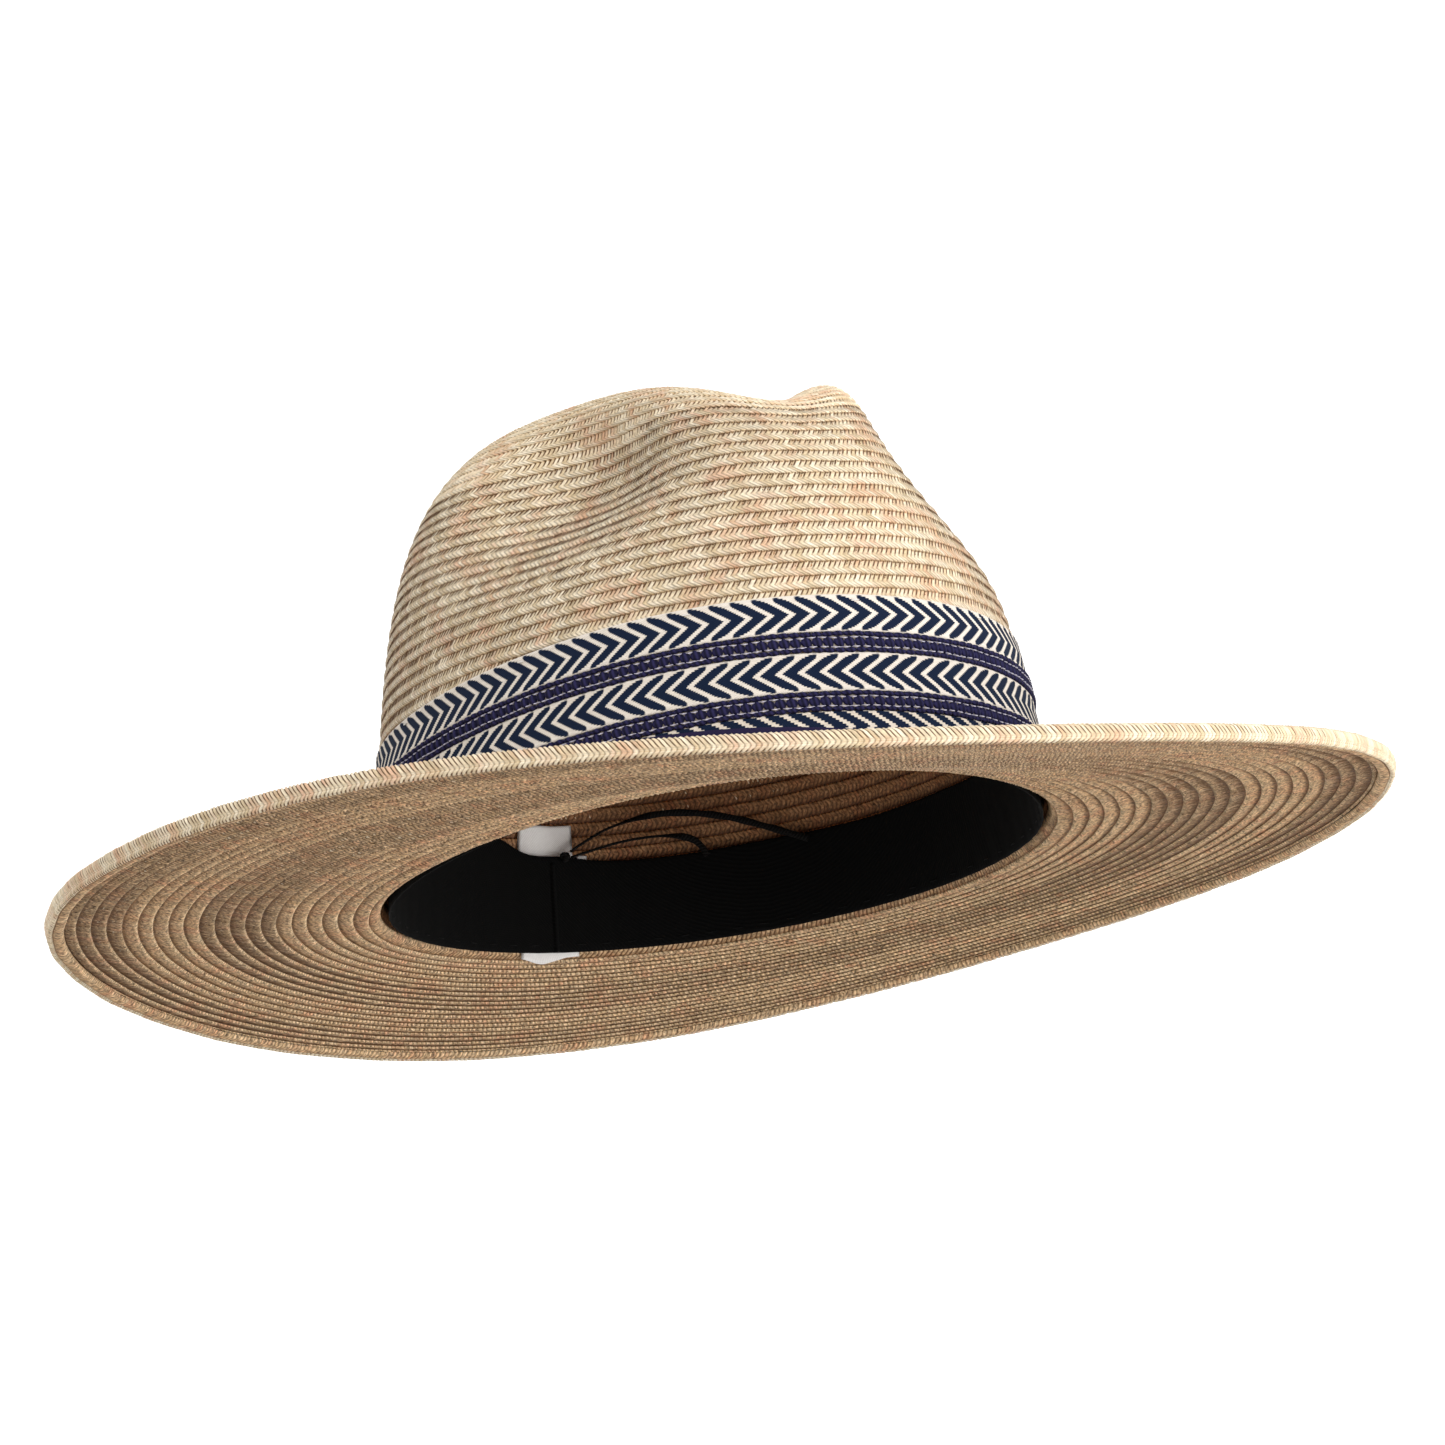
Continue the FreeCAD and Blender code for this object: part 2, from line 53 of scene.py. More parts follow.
# ---------------------------------------------------------------- camera
camera = bpy.data.objects.new("camera", bpy.data.cameras.new("camera"))
bpy.context.scene.collection.objects.link(camera)
camera.data.sensor_width = 36
camera.data.lens = 241.1
camera.data.clip_end = 30
camera.location = (-0.9716, -2.1974, -0.4555)
looks_along = Vector((0.39868, 0.89472, 0.20131))
CAMERA_ROLL = math.radians(-6.6)
upright = looks_along.to_track_quat("-Z", "Y").to_matrix()
camera.rotation_euler = (upright @ Matrix.Rotation(CAMERA_ROLL, 3, "Z")).to_euler()
bpy.context.scene.camera = camera


# ---------------------------------------------------------------- finishes
def linear(code, alpha=1.0):
    """Linear colour of an sRGB hex value."""
    parts = [int(code[i:i + 2], 16) / 255 for i in (1, 3, 5)]
    return [p / 12.92 if p <= 0.04045 else ((p + 0.055) / 1.055) ** 2.4 for p in parts] + [alpha]


def add(tree, kind, inputs=None, **settings):
    """One node with its settings; an input is either a value or the socket that feeds it."""
    node = tree.nodes.new(kind)
    for name, value in settings.items():
        setattr(node, name, value)
    for name, value in (inputs or {}).items():
        if isinstance(value, bpy.types.NodeSocket):
            tree.links.new(value, node.inputs[name])
        else:
            node.inputs[name].default_value = value
    return node


def maths(tree, operation, *values):
    """Maths node with its values in order."""
    return add(tree, "ShaderNodeMath", dict(enumerate(values)), operation=operation)


def mix(tree, factor, a, b, how="MIX"):
    """Node that blends two colours."""
    return add(tree, "ShaderNodeMix", {"Factor": factor, "A": a, "B": b}, data_type="RGBA", blend_type=how)


def raise_grain(tree, shader, height, depth, strength=1.0):
    """Give a shader bump from a height, with its depth in millimetres."""
    bump = add(tree, "ShaderNodeBump", {"Height": height, "Distance": depth * MM, "Strength": strength})
    tree.links.new(bump.outputs[0], shader.inputs["Normal"])


def finish(name, roughness, metallic=0.0, specular=0.5):
    """New material with its shader, as the material, its node tree and the shader node."""
    material = bpy.data.materials.new(name)
    material.use_nodes = True
    tree = material.node_tree
    shader = tree.nodes["Principled BSDF"]
    shader.inputs["Roughness"].default_value = roughness
    shader.inputs["Metallic"].default_value = metallic
    shader.inputs["Specular IOR Level"].default_value = specular
    return material, tree, shader


# painted shade across the plait, as shares of red, green and blue: dark in the groove under each row's edge
# and light on its ridge, and darker and warmer on the underside, mostly painted warm bounce light and
# partly the plait's duller wrong side
PAINTED_PLAIT_SHADE = [
    (0.10, 0.66, 0.55, 0.43), (0.14, 0.92, 0.87, 0.80), (0.20, 1.0, 0.98, 0.95), (0.29, 0.90, 0.86, 0.80),
    (0.35, 1.0, 1.0, 1.0), (0.42, 0.98, 0.95, 0.91), (0.475, 0.86, 0.76, 0.64), (0.56, 0.26, 0.16, 0.09),
    (0.62, 0.28, 0.18, 0.11), (0.68, 0.56, 0.42, 0.32), (0.74, 0.68, 0.54, 0.43), (0.82, 0.72, 0.58, 0.47),
    (0.87, 0.86, 0.73, 0.61),
]


def plaited_straw(name, inside):
    """Wheat straw, split, plaited and sewn in rows: each strand is a rounded blade with its own
    tint and fine fibres along it, some are pinkish, and the gaps between strands are darkened brown with
    painted shade.
    inside is how light the plait's inner side is; painted shade darkens it on the inside of a crown."""
    material, tree, shader = finish(name, 0.62, specular=0.3)
    place = add(tree, "ShaderNodeUVMap", uv_map="weave").outputs["UV"]
    split = add(tree, "ShaderNodeSeparateXYZ", {"Vector": place})
    strand = maths(tree, "FLOOR", split.outputs["X"]).outputs[0]
    phase = maths(tree, "FRACT", split.outputs["X"]).outputs[0]
    # 0 in the gap between two strands and 1 on a strand's middle
    arch = maths(tree, "MULTIPLY", phase, math.pi).outputs[0]
    arch = maths(tree, "SINE", arch).outputs[0]
    face = maths(tree, "GREATER_THAN", split.outputs["Y"], 5.6).outputs[0]
    seed = add(tree, "ShaderNodeCombineXYZ", {"X": strand, "Y": face})
    own = add(tree, "ShaderNodeTexWhiteNoise", {"Vector": seed.outputs[0]}, noise_dimensions="2D")
    likeness = maths(tree, "MULTIPLY_ADD", face, -0.55, 1.0).outputs[0]
    mixed = maths(tree, "MULTIPLY", own.outputs["Value"], likeness)
    tint = mix(tree, mixed.outputs[0], linear("#D9C5A3"), linear("#F5E9D2"))
    # pinkish stretches of a few centimetres, where the dye took
    solid = add(tree, "ShaderNodeTexCoord").outputs["Object"]
    patch = add(tree, "ShaderNodeTexNoise", {"Vector": solid, "Scale": 110.0, "Detail": 3.0})
    pink = add(tree, "ShaderNodeMapRange", {"Value": patch.outputs[0], "From Min": 0.46, "From Max": 0.62})
    own_pink = add(tree, "ShaderNodeSeparateColor", {0: own.outputs["Color"]})
    pink = maths(tree, "MULTIPLY", pink.outputs[0], own_pink.outputs[1])
    pink = maths(tree, "MULTIPLY", pink.outputs[0], 0.75)
    tint = mix(tree, pink.outputs[0], tint.outputs["Result"], linear("#DFB091"))
    # fibres along the strand, about 0.2 mm apart
    along = add(tree, "ShaderNodeMapping", {"Vector": place, "Scale": (7.0, 0.9, 1.0)})
    fibre = add(tree, "ShaderNodeTexNoise", {"Vector": along.outputs[0], "Scale": 1.0, "Detail": 3.0})
    shade = add(tree, "ShaderNodeMapRange", {"Value": fibre.outputs[0], "From Min": 0.3, "From Max": 0.7,
                                             "To Min": 0.86, "To Max": 1.08})
    outer = maths(tree, "MULTIPLY_ADD", face, -0.7, 1.0)
    tint = mix(tree, outer.outputs[0], tint.outputs["Result"], shade.outputs[0], "MULTIPLY")
    # cut ends and husk make the underside speckled, in grains of about 0.5 mm
    cell = add(tree, "ShaderNodeMapping", {"Vector": place, "Scale": (2.0, 1.3, 1.0)})
    grain = add(tree, "ShaderNodeTexNoise", {"Vector": cell.outputs[0], "Scale": 1.0, "Detail": 2.0})
    speckle = add(tree, "ShaderNodeMapRange", {"Value": grain.outputs[0], "From Min": 0.3, "From Max": 0.7,
                                               "To Min": 0.15, "To Max": 1.75}, clamp=False)
    rough_side = maths(tree, "MULTIPLY_ADD", face, 0.7, 0.2)
    tint = mix(tree, rough_side.outputs[0], tint.outputs["Result"], speckle.outputs[0], "MULTIPLY")
    # how strongly painted shade darkens the gaps between strands: most in the recessed half of the outer
    # face, least on the rope-like edge
    across = maths(tree, "DIVIDE", split.outputs["Y"], 12.0).outputs[0]
    gap_shade_amount = add(tree, "ShaderNodeFloatCurve", {"Value": across})
    line = gap_shade_amount.mapping.curves[0]
    line.points[0].location = (0, 0.7)
    line.points[1].location = (1, 0.7)
    for spot in ((0.1, 1.0), (0.17, 1.0), (0.23, 1.0), (0.285, 0.35), (0.35, 0.4), (0.43, 0.5), (0.5, 0.6),
                 (0.66, 0.9), (0.76, 0.8), (0.87, 0.55)):
        line.points.new(*spot)
    gap_shade_amount.mapping.update()
    # painted shade: the folds between rows are darkened and the ridges kept light, and the underside is
    # tinted darker and warmer, mostly painted warm bounce light and partly the plait's duller wrong side
    painted_shade_ramp = add(tree, "ShaderNodeValToRGB", {"Fac": across})
    painted_shade_ramp.color_ramp.elements[0].position = 0
    painted_shade_ramp.color_ramp.elements[0].color = (0.50, 0.40, 0.30, 1)
    painted_shade_ramp.color_ramp.elements[1].position = 0.9
    painted_shade_ramp.color_ramp.elements[1].color = (1.0, 0.88, 0.76, 1)
    for position, red, green, blue in PAINTED_PLAIT_SHADE:
        painted_shade_ramp.color_ramp.elements.new(position).color = (red, green, blue, 1)
    tint = mix(tree, 1.0, tint.outputs["Result"], painted_shade_ramp.outputs["Color"], "MULTIPLY")
    # painted shade darkens the plait's inner side by inside; on the crown it darkens the inside of the
    # crown
    inside_shade = mix(tree, face, (1, 1, 1, 1), inside)
    tint = mix(tree, 1.0, tint.outputs["Result"], inside_shade.outputs["Result"], "MULTIPLY")
    # painted shade: the gaps between strands are darkened towards brown
    gap = add(tree, "ShaderNodeMapRange", {"Value": arch, "From Min": 0.2, "From Max": 0.78,
                                           "To Min": 1.0, "To Max": 0.0}, interpolation_type="SMOOTHSTEP")
    gap = maths(tree, "MULTIPLY", gap.outputs[0], gap_shade_amount.outputs[0])
    tint = mix(tree, gap.outputs[0], tint.outputs["Result"], linear("#5F3F22"))
    tree.links.new(tint.outputs["Result"], shader.inputs["Base Color"])
    lift = maths(tree, "POWER", arch, 0.6).outputs[0]
    lift = maths(tree, "MULTIPLY_ADD", fibre.outputs[0], 0.25, lift)
    raise_grain(tree, shader, lift.outputs[0], 0.16, 0.9)
    return material


def woven_tape(name, ground, figure, width, point=0, reach=0.8, line=0.33):
    """Cotton tape, woven and brushed soft. With point 1 or -1 it has chevrons woven into it that
    point along the tape or back; the edges of a chevron go in steps, one for each weft thread."""
    material, tree, shader = finish(name, 0.85, specular=0.12)
    place = add(tree, "ShaderNodeUVMap", uv_map="weave").outputs["UV"]
    split = add(tree, "ShaderNodeSeparateXYZ", {"Vector": place})
    colour = add(tree, "ShaderNodeTexNoise", {"Vector": place, "Scale": 1.7, "Detail": 4.0})
    uneven = add(tree, "ShaderNodeMapRange", {"Value": colour.outputs[0], "From Min": 0.3, "From Max": 0.7,
                                              "To Min": 0.88, "To Max": 1.06})
    cloth = mix(tree, 1.0, linear(ground), uneven.outputs[0], "MULTIPLY").outputs["Result"]
    # weft threads 0.5 mm apart across the tape, drawn coarser than real so that they show
    weft = maths(tree, "MULTIPLY", split.outputs["Y"], TURN / 0.5)
    weft = maths(tree, "SINE", weft.outputs[0])
    warp = maths(tree, "MULTIPLY", split.outputs["X"], TURN * 9)
    warp = maths(tree, "SINE", warp.outputs[0])
    threads = maths(tree, "MULTIPLY", weft.outputs[0], warp.outputs[0])
    height = threads.outputs[0]
    if point:
        step = maths(tree, "SNAP", split.outputs["Y"], 0.36)
        aside = maths(tree, "SUBTRACT", step.outputs[0], width / 2 - 0.18)
        aside = maths(tree, "ABSOLUTE", aside.outputs[0])
        share = maths(tree, "MULTIPLY", aside.outputs[0], 2 / (width * reach)).outputs[0]
        slant = maths(tree, "MULTIPLY_ADD", share, point * 1.2, split.outputs["X"])
        phase = maths(tree, "FRACT", slant.outputs[0]).outputs[0]
        middle = maths(tree, "SUBTRACT", phase, 0.5)
        middle = maths(tree, "ABSOLUTE", middle.outputs[0]).outputs[0]
        inked = add(tree, "ShaderNodeMapRange", {"Value": middle, "From Min": 0.5 - line / 2 - 0.02,
                                                 "From Max": 0.5 - line / 2 + 0.02, "To Min": 1.0,
                                                 "To Max": 0.0})
        # each bar's ends are rounded
        round_end = maths(tree, "POWER", middle, 2.0)
        edge = maths(tree, "MULTIPLY_ADD", round_end.outputs[0], 2.3, share)
        held = add(tree, "ShaderNodeMapRange", {"Value": edge.outputs[0], "From Min": 1.0,
                                                "From Max": 1.06, "To Min": 1.0, "To Max": 0.0})
        inked = maths(tree, "MULTIPLY", inked.outputs[0], held.outputs[0])
        sheen = add(tree, "ShaderNodeMapRange", {"Value": threads.outputs[0], "From Min": -1.0,
                                                 "To Min": 0.8, "To Max": 1.25})
        figure_cloth = mix(tree, 1.0, linear(figure), sheen.outputs[0], "MULTIPLY")
        cloth = mix(tree, inked.outputs[0], cloth, figure_cloth.outputs["Result"]).outputs["Result"]
        height = maths(tree, "MULTIPLY_ADD", inked.outputs[0], 1.2, height).outputs[0]
    tree.links.new(cloth, shader.inputs["Base Color"])
    raise_grain(tree, shader, height, 0.07, 0.8)
    return material


def spun_yarn(name, dark, light, twist, roughness=0.85):
    """Spun and dyed cotton yarn: its plies wind round it, with loose fibres between. Its colour runs from
    dark to light with the plies' height: painted shade between the plies and a painted highlight on their
    crests.
    """
    material, tree, shader = finish(name, roughness, specular=0.15)
    place = add(tree, "ShaderNodeUVMap", uv_map="weave").outputs["UV"]
    split = add(tree, "ShaderNodeSeparateXYZ", {"Vector": place})
    turn = maths(tree, "MULTIPLY_ADD", split.outputs["Y"], twist, split.outputs["X"])
    turn = maths(tree, "MULTIPLY", turn.outputs[0], TURN)
    ply = maths(tree, "SINE", turn.outputs[0])
    solid = add(tree, "ShaderNodeTexCoord").outputs["Object"]
    fuzz = add(tree, "ShaderNodeTexNoise", {"Vector": solid, "Scale": 1600.0, "Detail": 3.0})
    height = maths(tree, "MULTIPLY_ADD", fuzz.outputs[0], 1.2, ply.outputs[0])
    # painted highlight and shade: lighter where the plies stand high, darker between them
    share = add(tree, "ShaderNodeMapRange", {"Value": height.outputs[0], "From Min": -0.6, "From Max": 1.7})
    cloth = mix(tree, share.outputs[0], linear(dark), linear(light))
    tree.links.new(cloth.outputs["Result"], shader.inputs["Base Color"])
    raise_grain(tree, shader, height.outputs[0], 0.09, 0.9)
    return material


def twill(name, dark, light, pitch, roughness=0.88):
    """Woven cloth whose threads step aside in each row, so fine ridges cross it on the slant."""
    material, tree, shader = finish(name, roughness, specular=0.1)
    solid = add(tree, "ShaderNodeTexCoord").outputs["Object"]
    ridge = add(tree, "ShaderNodeTexWave", {"Vector": solid, "Scale": TURN / (10 * pitch * MM),
                                            "Distortion": 0.6, "Detail": 1.0},
                bands_direction="DIAGONAL")
    fuzz = add(tree, "ShaderNodeTexNoise", {"Vector": solid, "Scale": 900.0, "Detail": 3.0})
    height = maths(tree, "MULTIPLY_ADD", fuzz.outputs[0], 0.6, ridge.outputs["Fac"])
    share = add(tree, "ShaderNodeMapRange", {"Value": height.outputs[0], "From Min": 0.1, "From Max": 1.4})
    cloth = mix(tree, share.outputs[0], linear(dark), linear(light))
    tree.links.new(cloth.outputs["Result"], shader.inputs["Base Color"])
    raise_grain(tree, shader, height.outputs[0], 0.08, 0.7)
    return material


def drawn_metal(name, code, roughness):
    """Drawn wire or sheet: slight dulling from handling, as uneven roughness and a faint bump."""
    material, tree, shader = finish(name, roughness, metallic=1.0)
    solid = add(tree, "ShaderNodeTexCoord").outputs["Object"]
    dull = add(tree, "ShaderNodeTexNoise", {"Vector": solid, "Scale": 400.0, "Detail": 4.0})
    worn = add(tree, "ShaderNodeMapRange", {"Value": dull.outputs[0], "To Min": roughness - 0.1,
                                            "To Max": roughness + 0.15})
    tree.links.new(worn.outputs[0], shader.inputs["Roughness"])
    shader.inputs["Base Color"].default_value = linear(code)
    raise_grain(tree, shader, dull.outputs[0], 0.02)
    return material


STRAW = plaited_straw("wheat_straw_plaited", (1, 1, 1, 1))
# the crown's plait has painted shade on its inner side, darkening the inside of the crown
STRAW_SHADED_INSIDE = plaited_straw("wheat_straw_plaited_painted_shade_inside", (0.62, 0.46, 0.36, 1))
UPPER_CHEVRONS = woven_tape("cotton_tape_chevrons_forward", "#DFD6CB", "#0F1C33", 9.6, 1, 0.92)
LOWER_CHEVRONS = woven_tape("cotton_tape_chevrons_back", "#DFD6CB", "#0F1C33", 9.9, -1, 0.9)
BOTTOM_CHEVRONS = woven_tape("cotton_tape_chevrons_foot", "#D8CDBF", "#0F1C33", 7.0, 1, 0.86)
EDGE_TAPE = woven_tape("cotton_tape_violet_navy", "#231E3B", "#231E3B", 6.0)
KEEPER_RIBBON = woven_tape("cotton_ribbon_navy", "#1D2140", "#1D2140", 9.0)
CROCHET_BACKING = woven_tape("cotton_tape_grey", "#968C82", "#968C82", 5.0)
CROCHET_YARN = spun_yarn("cotton_yarn_navy", "#0E0D22", "#29274C", 0.5)
LILAC_THREAD = spun_yarn("cotton_thread_lilac", "#A7A2B8", "#D9D6E2", 0.8)
WHITE_THREAD = spun_yarn("cotton_thread_white", "#CFCBC6", "#F1EEEA", 0.8)
BLACK_THREAD = spun_yarn("cotton_thread_black", "#030303", "#0B0B0B", 0.8)
SWEATBAND_CLOTH = twill("cotton_twill_black", "#020202", "#090909", 0.9, 0.95)
LABEL_SATIN = twill("polyester_satin_white", "#D9D5D3", "#F2F0EF", 0.5, 0.55)
CORD_BRAID = spun_yarn("braided_cord_black", "#030303", "#0F0D0C", 0.5, 0.75)
CORD_IN_CHANNEL = twill("braided_cord_black_flat", "#050505", "#161515", 0.7, 0.75)
SPRING_STEEL = drawn_metal("spring_steel_drawn", "#A9ABAE", 0.35)
SLEEVE_METAL = drawn_metal("aluminium_tube_crimped", "#C6C8CA", 0.4)


# ---------------------------------------------------------------- making meshes
def dress(piece, material, body="hat"):
    """Give a finished piece its material and the body it rides on."""
    piece.data.materials.clear()
    piece.data.materials.append(material)
    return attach(piece, body)


def as_piece(name, mesh):
    """New object with this mesh, shaded smooth."""
    piece = bpy.data.objects.new(name, mesh)
    bpy.context.scene.collection.objects.link(piece)
    mesh.shade_smooth()
    return piece


def close_up(shell):
    """Merge the edges that meet, fill open ends and turn every face outwards."""
    bmesh.ops.remove_doubles(shell, verts=shell.verts, dist=0.002 * MM)
    open_ends = [edge for edge in shell.edges if edge.is_boundary]
    if open_ends:
        bmesh.ops.holes_fill(shell, edges=open_ends, sides=0)
    bmesh.ops.recalc_face_normals(shell, faces=shell.faces)
    # on a long thin strip the outside can be mistaken for the inside, but its volume can't
    if shell.calc_volume(signed=True) < 0:
        bmesh.ops.reverse_faces(shell, faces=shell.faces)


def shaped(name, columns, rows, place, weave, closed=True):
    """Piece made from a flat grid: place gives each point from its column and row, and weave its
    place in the cloth or plait. Where the last row or column meets the first, they are merged."""
    shell = bmesh.new()
    shell.loops.layers.uv.new("weave")
    bmesh.ops.create_grid(shell, x_segments=columns, y_segments=rows, size=0.5, calc_uvs=True)
    mesh = bpy.data.meshes.new(name)
    shell.to_mesh(mesh)
    flat = np.empty(3 * len(mesh.vertices), np.float32)
    mesh.vertices.foreach_get("co", flat)
    grid = flat.reshape(-1, 3).astype(float) + 0.5
    column = np.rint(grid[:, 0] * columns).astype(int)
    row = np.rint(grid[:, 1] * rows).astype(int)
    mesh.vertices.foreach_set("co", (place(column, row) * MM).astype(np.float32).ravel())
    threads = mesh.uv_layers["weave"].uv
    corner = np.empty(len(mesh.loops), np.int32)
    mesh.loops.foreach_get("vertex_index", corner)
    threads.foreach_set("vector", weave(column, row)[corner].astype(np.float32).ravel())
    shell.clear()
    shell.from_mesh(mesh)
    if closed:
        close_up(shell)
    shell.to_mesh(mesh)
    shell.free()
    return as_piece(name, mesh)


# ---------------------------------------------------------------- drawcord tails
def tail_line(route):
    """Points along the smooth line of a cord, read from its spline."""
    curve = bpy.data.curves.new("route", "CURVE")
    curve.dimensions = "3D"
    spline = curve.splines.new("NURBS")
    spline.points.add(len(route) - 1)
    for knot, spot in zip(spline.points, route):
        knot.co = (*spot, 1)
    spline.order_u = 3
    spline.use_endpoint_u = True
    spline.resolution_u = 24
    guide = bpy.data.objects.new("route", curve)
    bpy.context.scene.collection.objects.link(guide)
    bpy.context.view_layer.update()
    line = bpy.data.meshes.new_from_object(guide.evaluated_get(bpy.context.evaluated_depsgraph_get()))
    points = np.array([vertex.co for vertex in line.vertices]) / MM
    bpy.data.objects.remove(guide)
    bpy.data.curves.remove(curve)
    bpy.data.meshes.remove(line)
    return points


def flat_cord(name, route, turns_at, width=1.8, thickness=0.72, sides=12):
    """Flat braided cord along its route; it turns from edge-on to face-on round the share
    turns_at of its length."""
    points = tail_line(route)
    heading = np.gradient(points, axis=0)
    heading /= np.linalg.norm(heading, axis=1, keepdims=True)
    steps = np.linalg.norm(np.diff(points, axis=0), axis=1)
    run = np.concatenate([[0], np.cumsum(steps)])
    share = run / run[-1]
    away = np.array([0.4, 0.9, 0.2])
    deep = away - heading * (heading @ away)[:, None]
    deep /= np.linalg.norm(deep, axis=1, keepdims=True)
    tall = np.cross(heading, deep)
    ease = np.clip((share - turns_at + 0.12) / 0.24, 0, 1)
    roll = BACK * ease * ease * (3 - 2 * ease)
    side = 0.5 * (width - 0.15 * np.cos(TURN * run / 9.0)[:, None])
    wide = np.cos(roll)[:, None] * deep + np.sin(roll)[:, None] * tall
    thin = np.cross(heading, wide)

    def place(column, row):
        turn = TURN * (row % sides) / sides
        bulge = abs(np.cos(turn)) ** 0.8 * np.sign(np.cos(turn))
        across = wide[column] * side[column] * bulge[:, None]
        return points[column] + across + thin[column] * (thickness / 2 * np.sin(turn))[:, None]

    def weave(column, row):
        return np.stack([run[column] / 0.9, 6 * row / sides], -1)

    cord = shaped(name, len(points) - 1, sides, place, weave)
    return dress(cord, CORD_BRAID, "drawcord_end"), points * MM, run[-1] * MM


LONG_TAIL = [
    (0.0015, 0.0929, 0.0263), (0.0080, 0.0920, 0.0302), (0.0155, 0.0900, 0.0330), (0.0250, 0.0863, 0.0345),
    (0.0340, 0.0816, 0.0332), (0.0420, 0.0760, 0.0303), (0.0495, 0.0695, 0.0258), (0.0560, 0.0625, 0.0214),
]
SHORT_TAIL = [
    (0.0016, 0.0930, 0.0247), (0.0090, 0.0923, 0.0268), (0.0170, 0.0902, 0.0283), (0.0245, 0.0875, 0.0286),
    (0.0305, 0.0847, 0.0278), (0.0343, 0.0829, 0.0254), (0.0356, 0.0824, 0.0219),
]
for name, route, turns_at in (("drawcord_tail_long", LONG_TAIL, 0.3),
                              ("drawcord_tail_short", SHORT_TAIL, 0.72)):
    tail, path, length = flat_cord(name + "_cord", route, turns_at)
    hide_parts(name)

# ---------------------------------------------------------------- the hat's surfaces
CROWN_HEIGHT = 122.6
CROWN_ACROSS = 83.1
BRIM_WIDTH = 83.9
# the brim is narrower in front and wider behind by this
BRIM_SHIFT = 1.76
# how square the crown's side is: powers of the oval that its section follows
SIDE_OUT = 3.92
SIDE_UP = 4.228


def crown_foot(angle):
    """Point of the crown's oval foot and its outward normal, for an array of angles."""
    along = np.where(np.sin(angle) < 0, 107.9, 101.9)
    point = np.stack([CROWN_ACROSS * np.cos(angle), along * np.sin(angle), 0 * angle], -1)
    normal = np.stack([np.cos(angle) / CROWN_ACROSS, np.sin(angle) / along, 0 * angle], -1)
    return point, normal / np.linalg.norm(normal, axis=-1, keepdims=True)


def press(point):
    """Where the crease along the top and the two pinches in front put points of the dome."""
    x, y, z = point[..., 0], point[..., 1], point[..., 2]
    fade = np.clip((z - 49.0) / 61.3, 0, 1)
    crease = np.exp(-((x / (27.6 * (1 + 0.00498 * y))) ** 2) - abs((y + 4.1) / 70.8) ** 4)
    up = z - 92.2
    back = y + 39.9 - 0.293 * up
    above = 0.5 * (1 + np.tanh(up / 8.4))
    behind = 0.5 * (1 + np.tanh(back / 8.4))
    reach_up = 22.0 * above + 20.7 * (1 - above)
    reach_back = 29.5 * behind + 37.3 * (1 - behind)
    near = -((back / reach_back) ** 2) - (up / reach_up) ** 2
    left = np.exp(near - ((x - 52.7) / 42.5) ** 2)
    right = np.exp(near - ((x + 52.7) / 42.5) ** 2)
    return np.stack([x + 27.0 * (right - left), y + 8.1 * (right + left), z - 19.1 * fade * crease], -1)


def dome(angle, share, rise):
    """Points of the pressed crown, for a share of the dome's radius and a height."""
    foot, _ = crown_foot(angle)
    climb = rise / CROWN_HEIGHT
    taper = np.where(np.sin(angle) < 0, 0.103, 0.168)
    x = foot[..., 0] * share * (1 - 0.182 * climb)
    y = foot[..., 1] * share * (1 - taper * climb)
    return press(np.stack([x, y, rise + 0 * x], -1))


def brim(angle, out):
    """Points of the brim's middle surface, this far out from the crown's foot, and its width."""
    foot, normal = crown_foot(angle)
    width = BRIM_WIDTH - BRIM_SHIFT * np.sin(angle)
    edge = -1.45 - 0.05 * np.sin(angle) - 1.39 * np.cos(angle)
    edge = edge + 6.43 * np.cos(2 * angle) - 1.235 * np.cos(4 * angle)
    point = foot + normal * out[..., None]
    point[..., 2] += edge * out / width
    return point, width


def wall(angle, rise, out):
    """Points beside the crown's lower wall, this far out from the straw's outer face."""
    _, normal = crown_foot(angle)
    on_wall = np.clip(rise, 0, CROWN_HEIGHT)
    share = np.sin(np.arccos((on_wall / CROWN_HEIGHT) ** (SIDE_UP / 2))) ** (2 / SIDE_OUT)
    point = dome(angle, share, on_wall) + normal * np.asarray(out)[..., None]
    point[..., 2] += np.minimum(rise, 0)
    return point


def band_top(angle):
    """Height of the hat band's top edge, which sits a little askew."""
    height = 44.3 - 1.5 * np.sin(angle) + 1.0 * np.cos(angle)
    return height - 1.05 * np.cos(2 * angle) + 1.9 * np.sin(2 * angle)


# length down the dome's side from its tip, which goes on along the brim past FOOT_RUN
quarter = np.linspace(0, BACK, 801)
dome_share = np.sin(quarter) ** (2 / SIDE_OUT)
dome_rise = CROWN_HEIGHT * np.maximum(np.cos(quarter), 0) ** (2 / SIDE_UP)
dome_run = np.concatenate([[0], np.cumsum(np.hypot(94.0 * np.diff(dome_share), np.diff(dome_rise)))])
FOOT_RUN = dome_run[-1]

RUN_STEP = 0.75
ANGLES = 720
runs = np.arange(0, FOOT_RUN + 90, RUN_STEP)
around, down = np.meshgrid(np.arange(ANGLES) * TURN / ANGLES, runs)
on_crown = dome(around, np.interp(down, dome_run, dome_share), np.interp(down, dome_run, dome_rise))
on_brim, brim_width = brim(around, np.maximum(down - FOOT_RUN, 0))
on_brim, _ = brim(around, np.maximum(down - FOOT_RUN, 0) * brim_width / BRIM_WIDTH)
straw = np.where((down <= FOOT_RUN)[..., None], on_crown, on_brim)
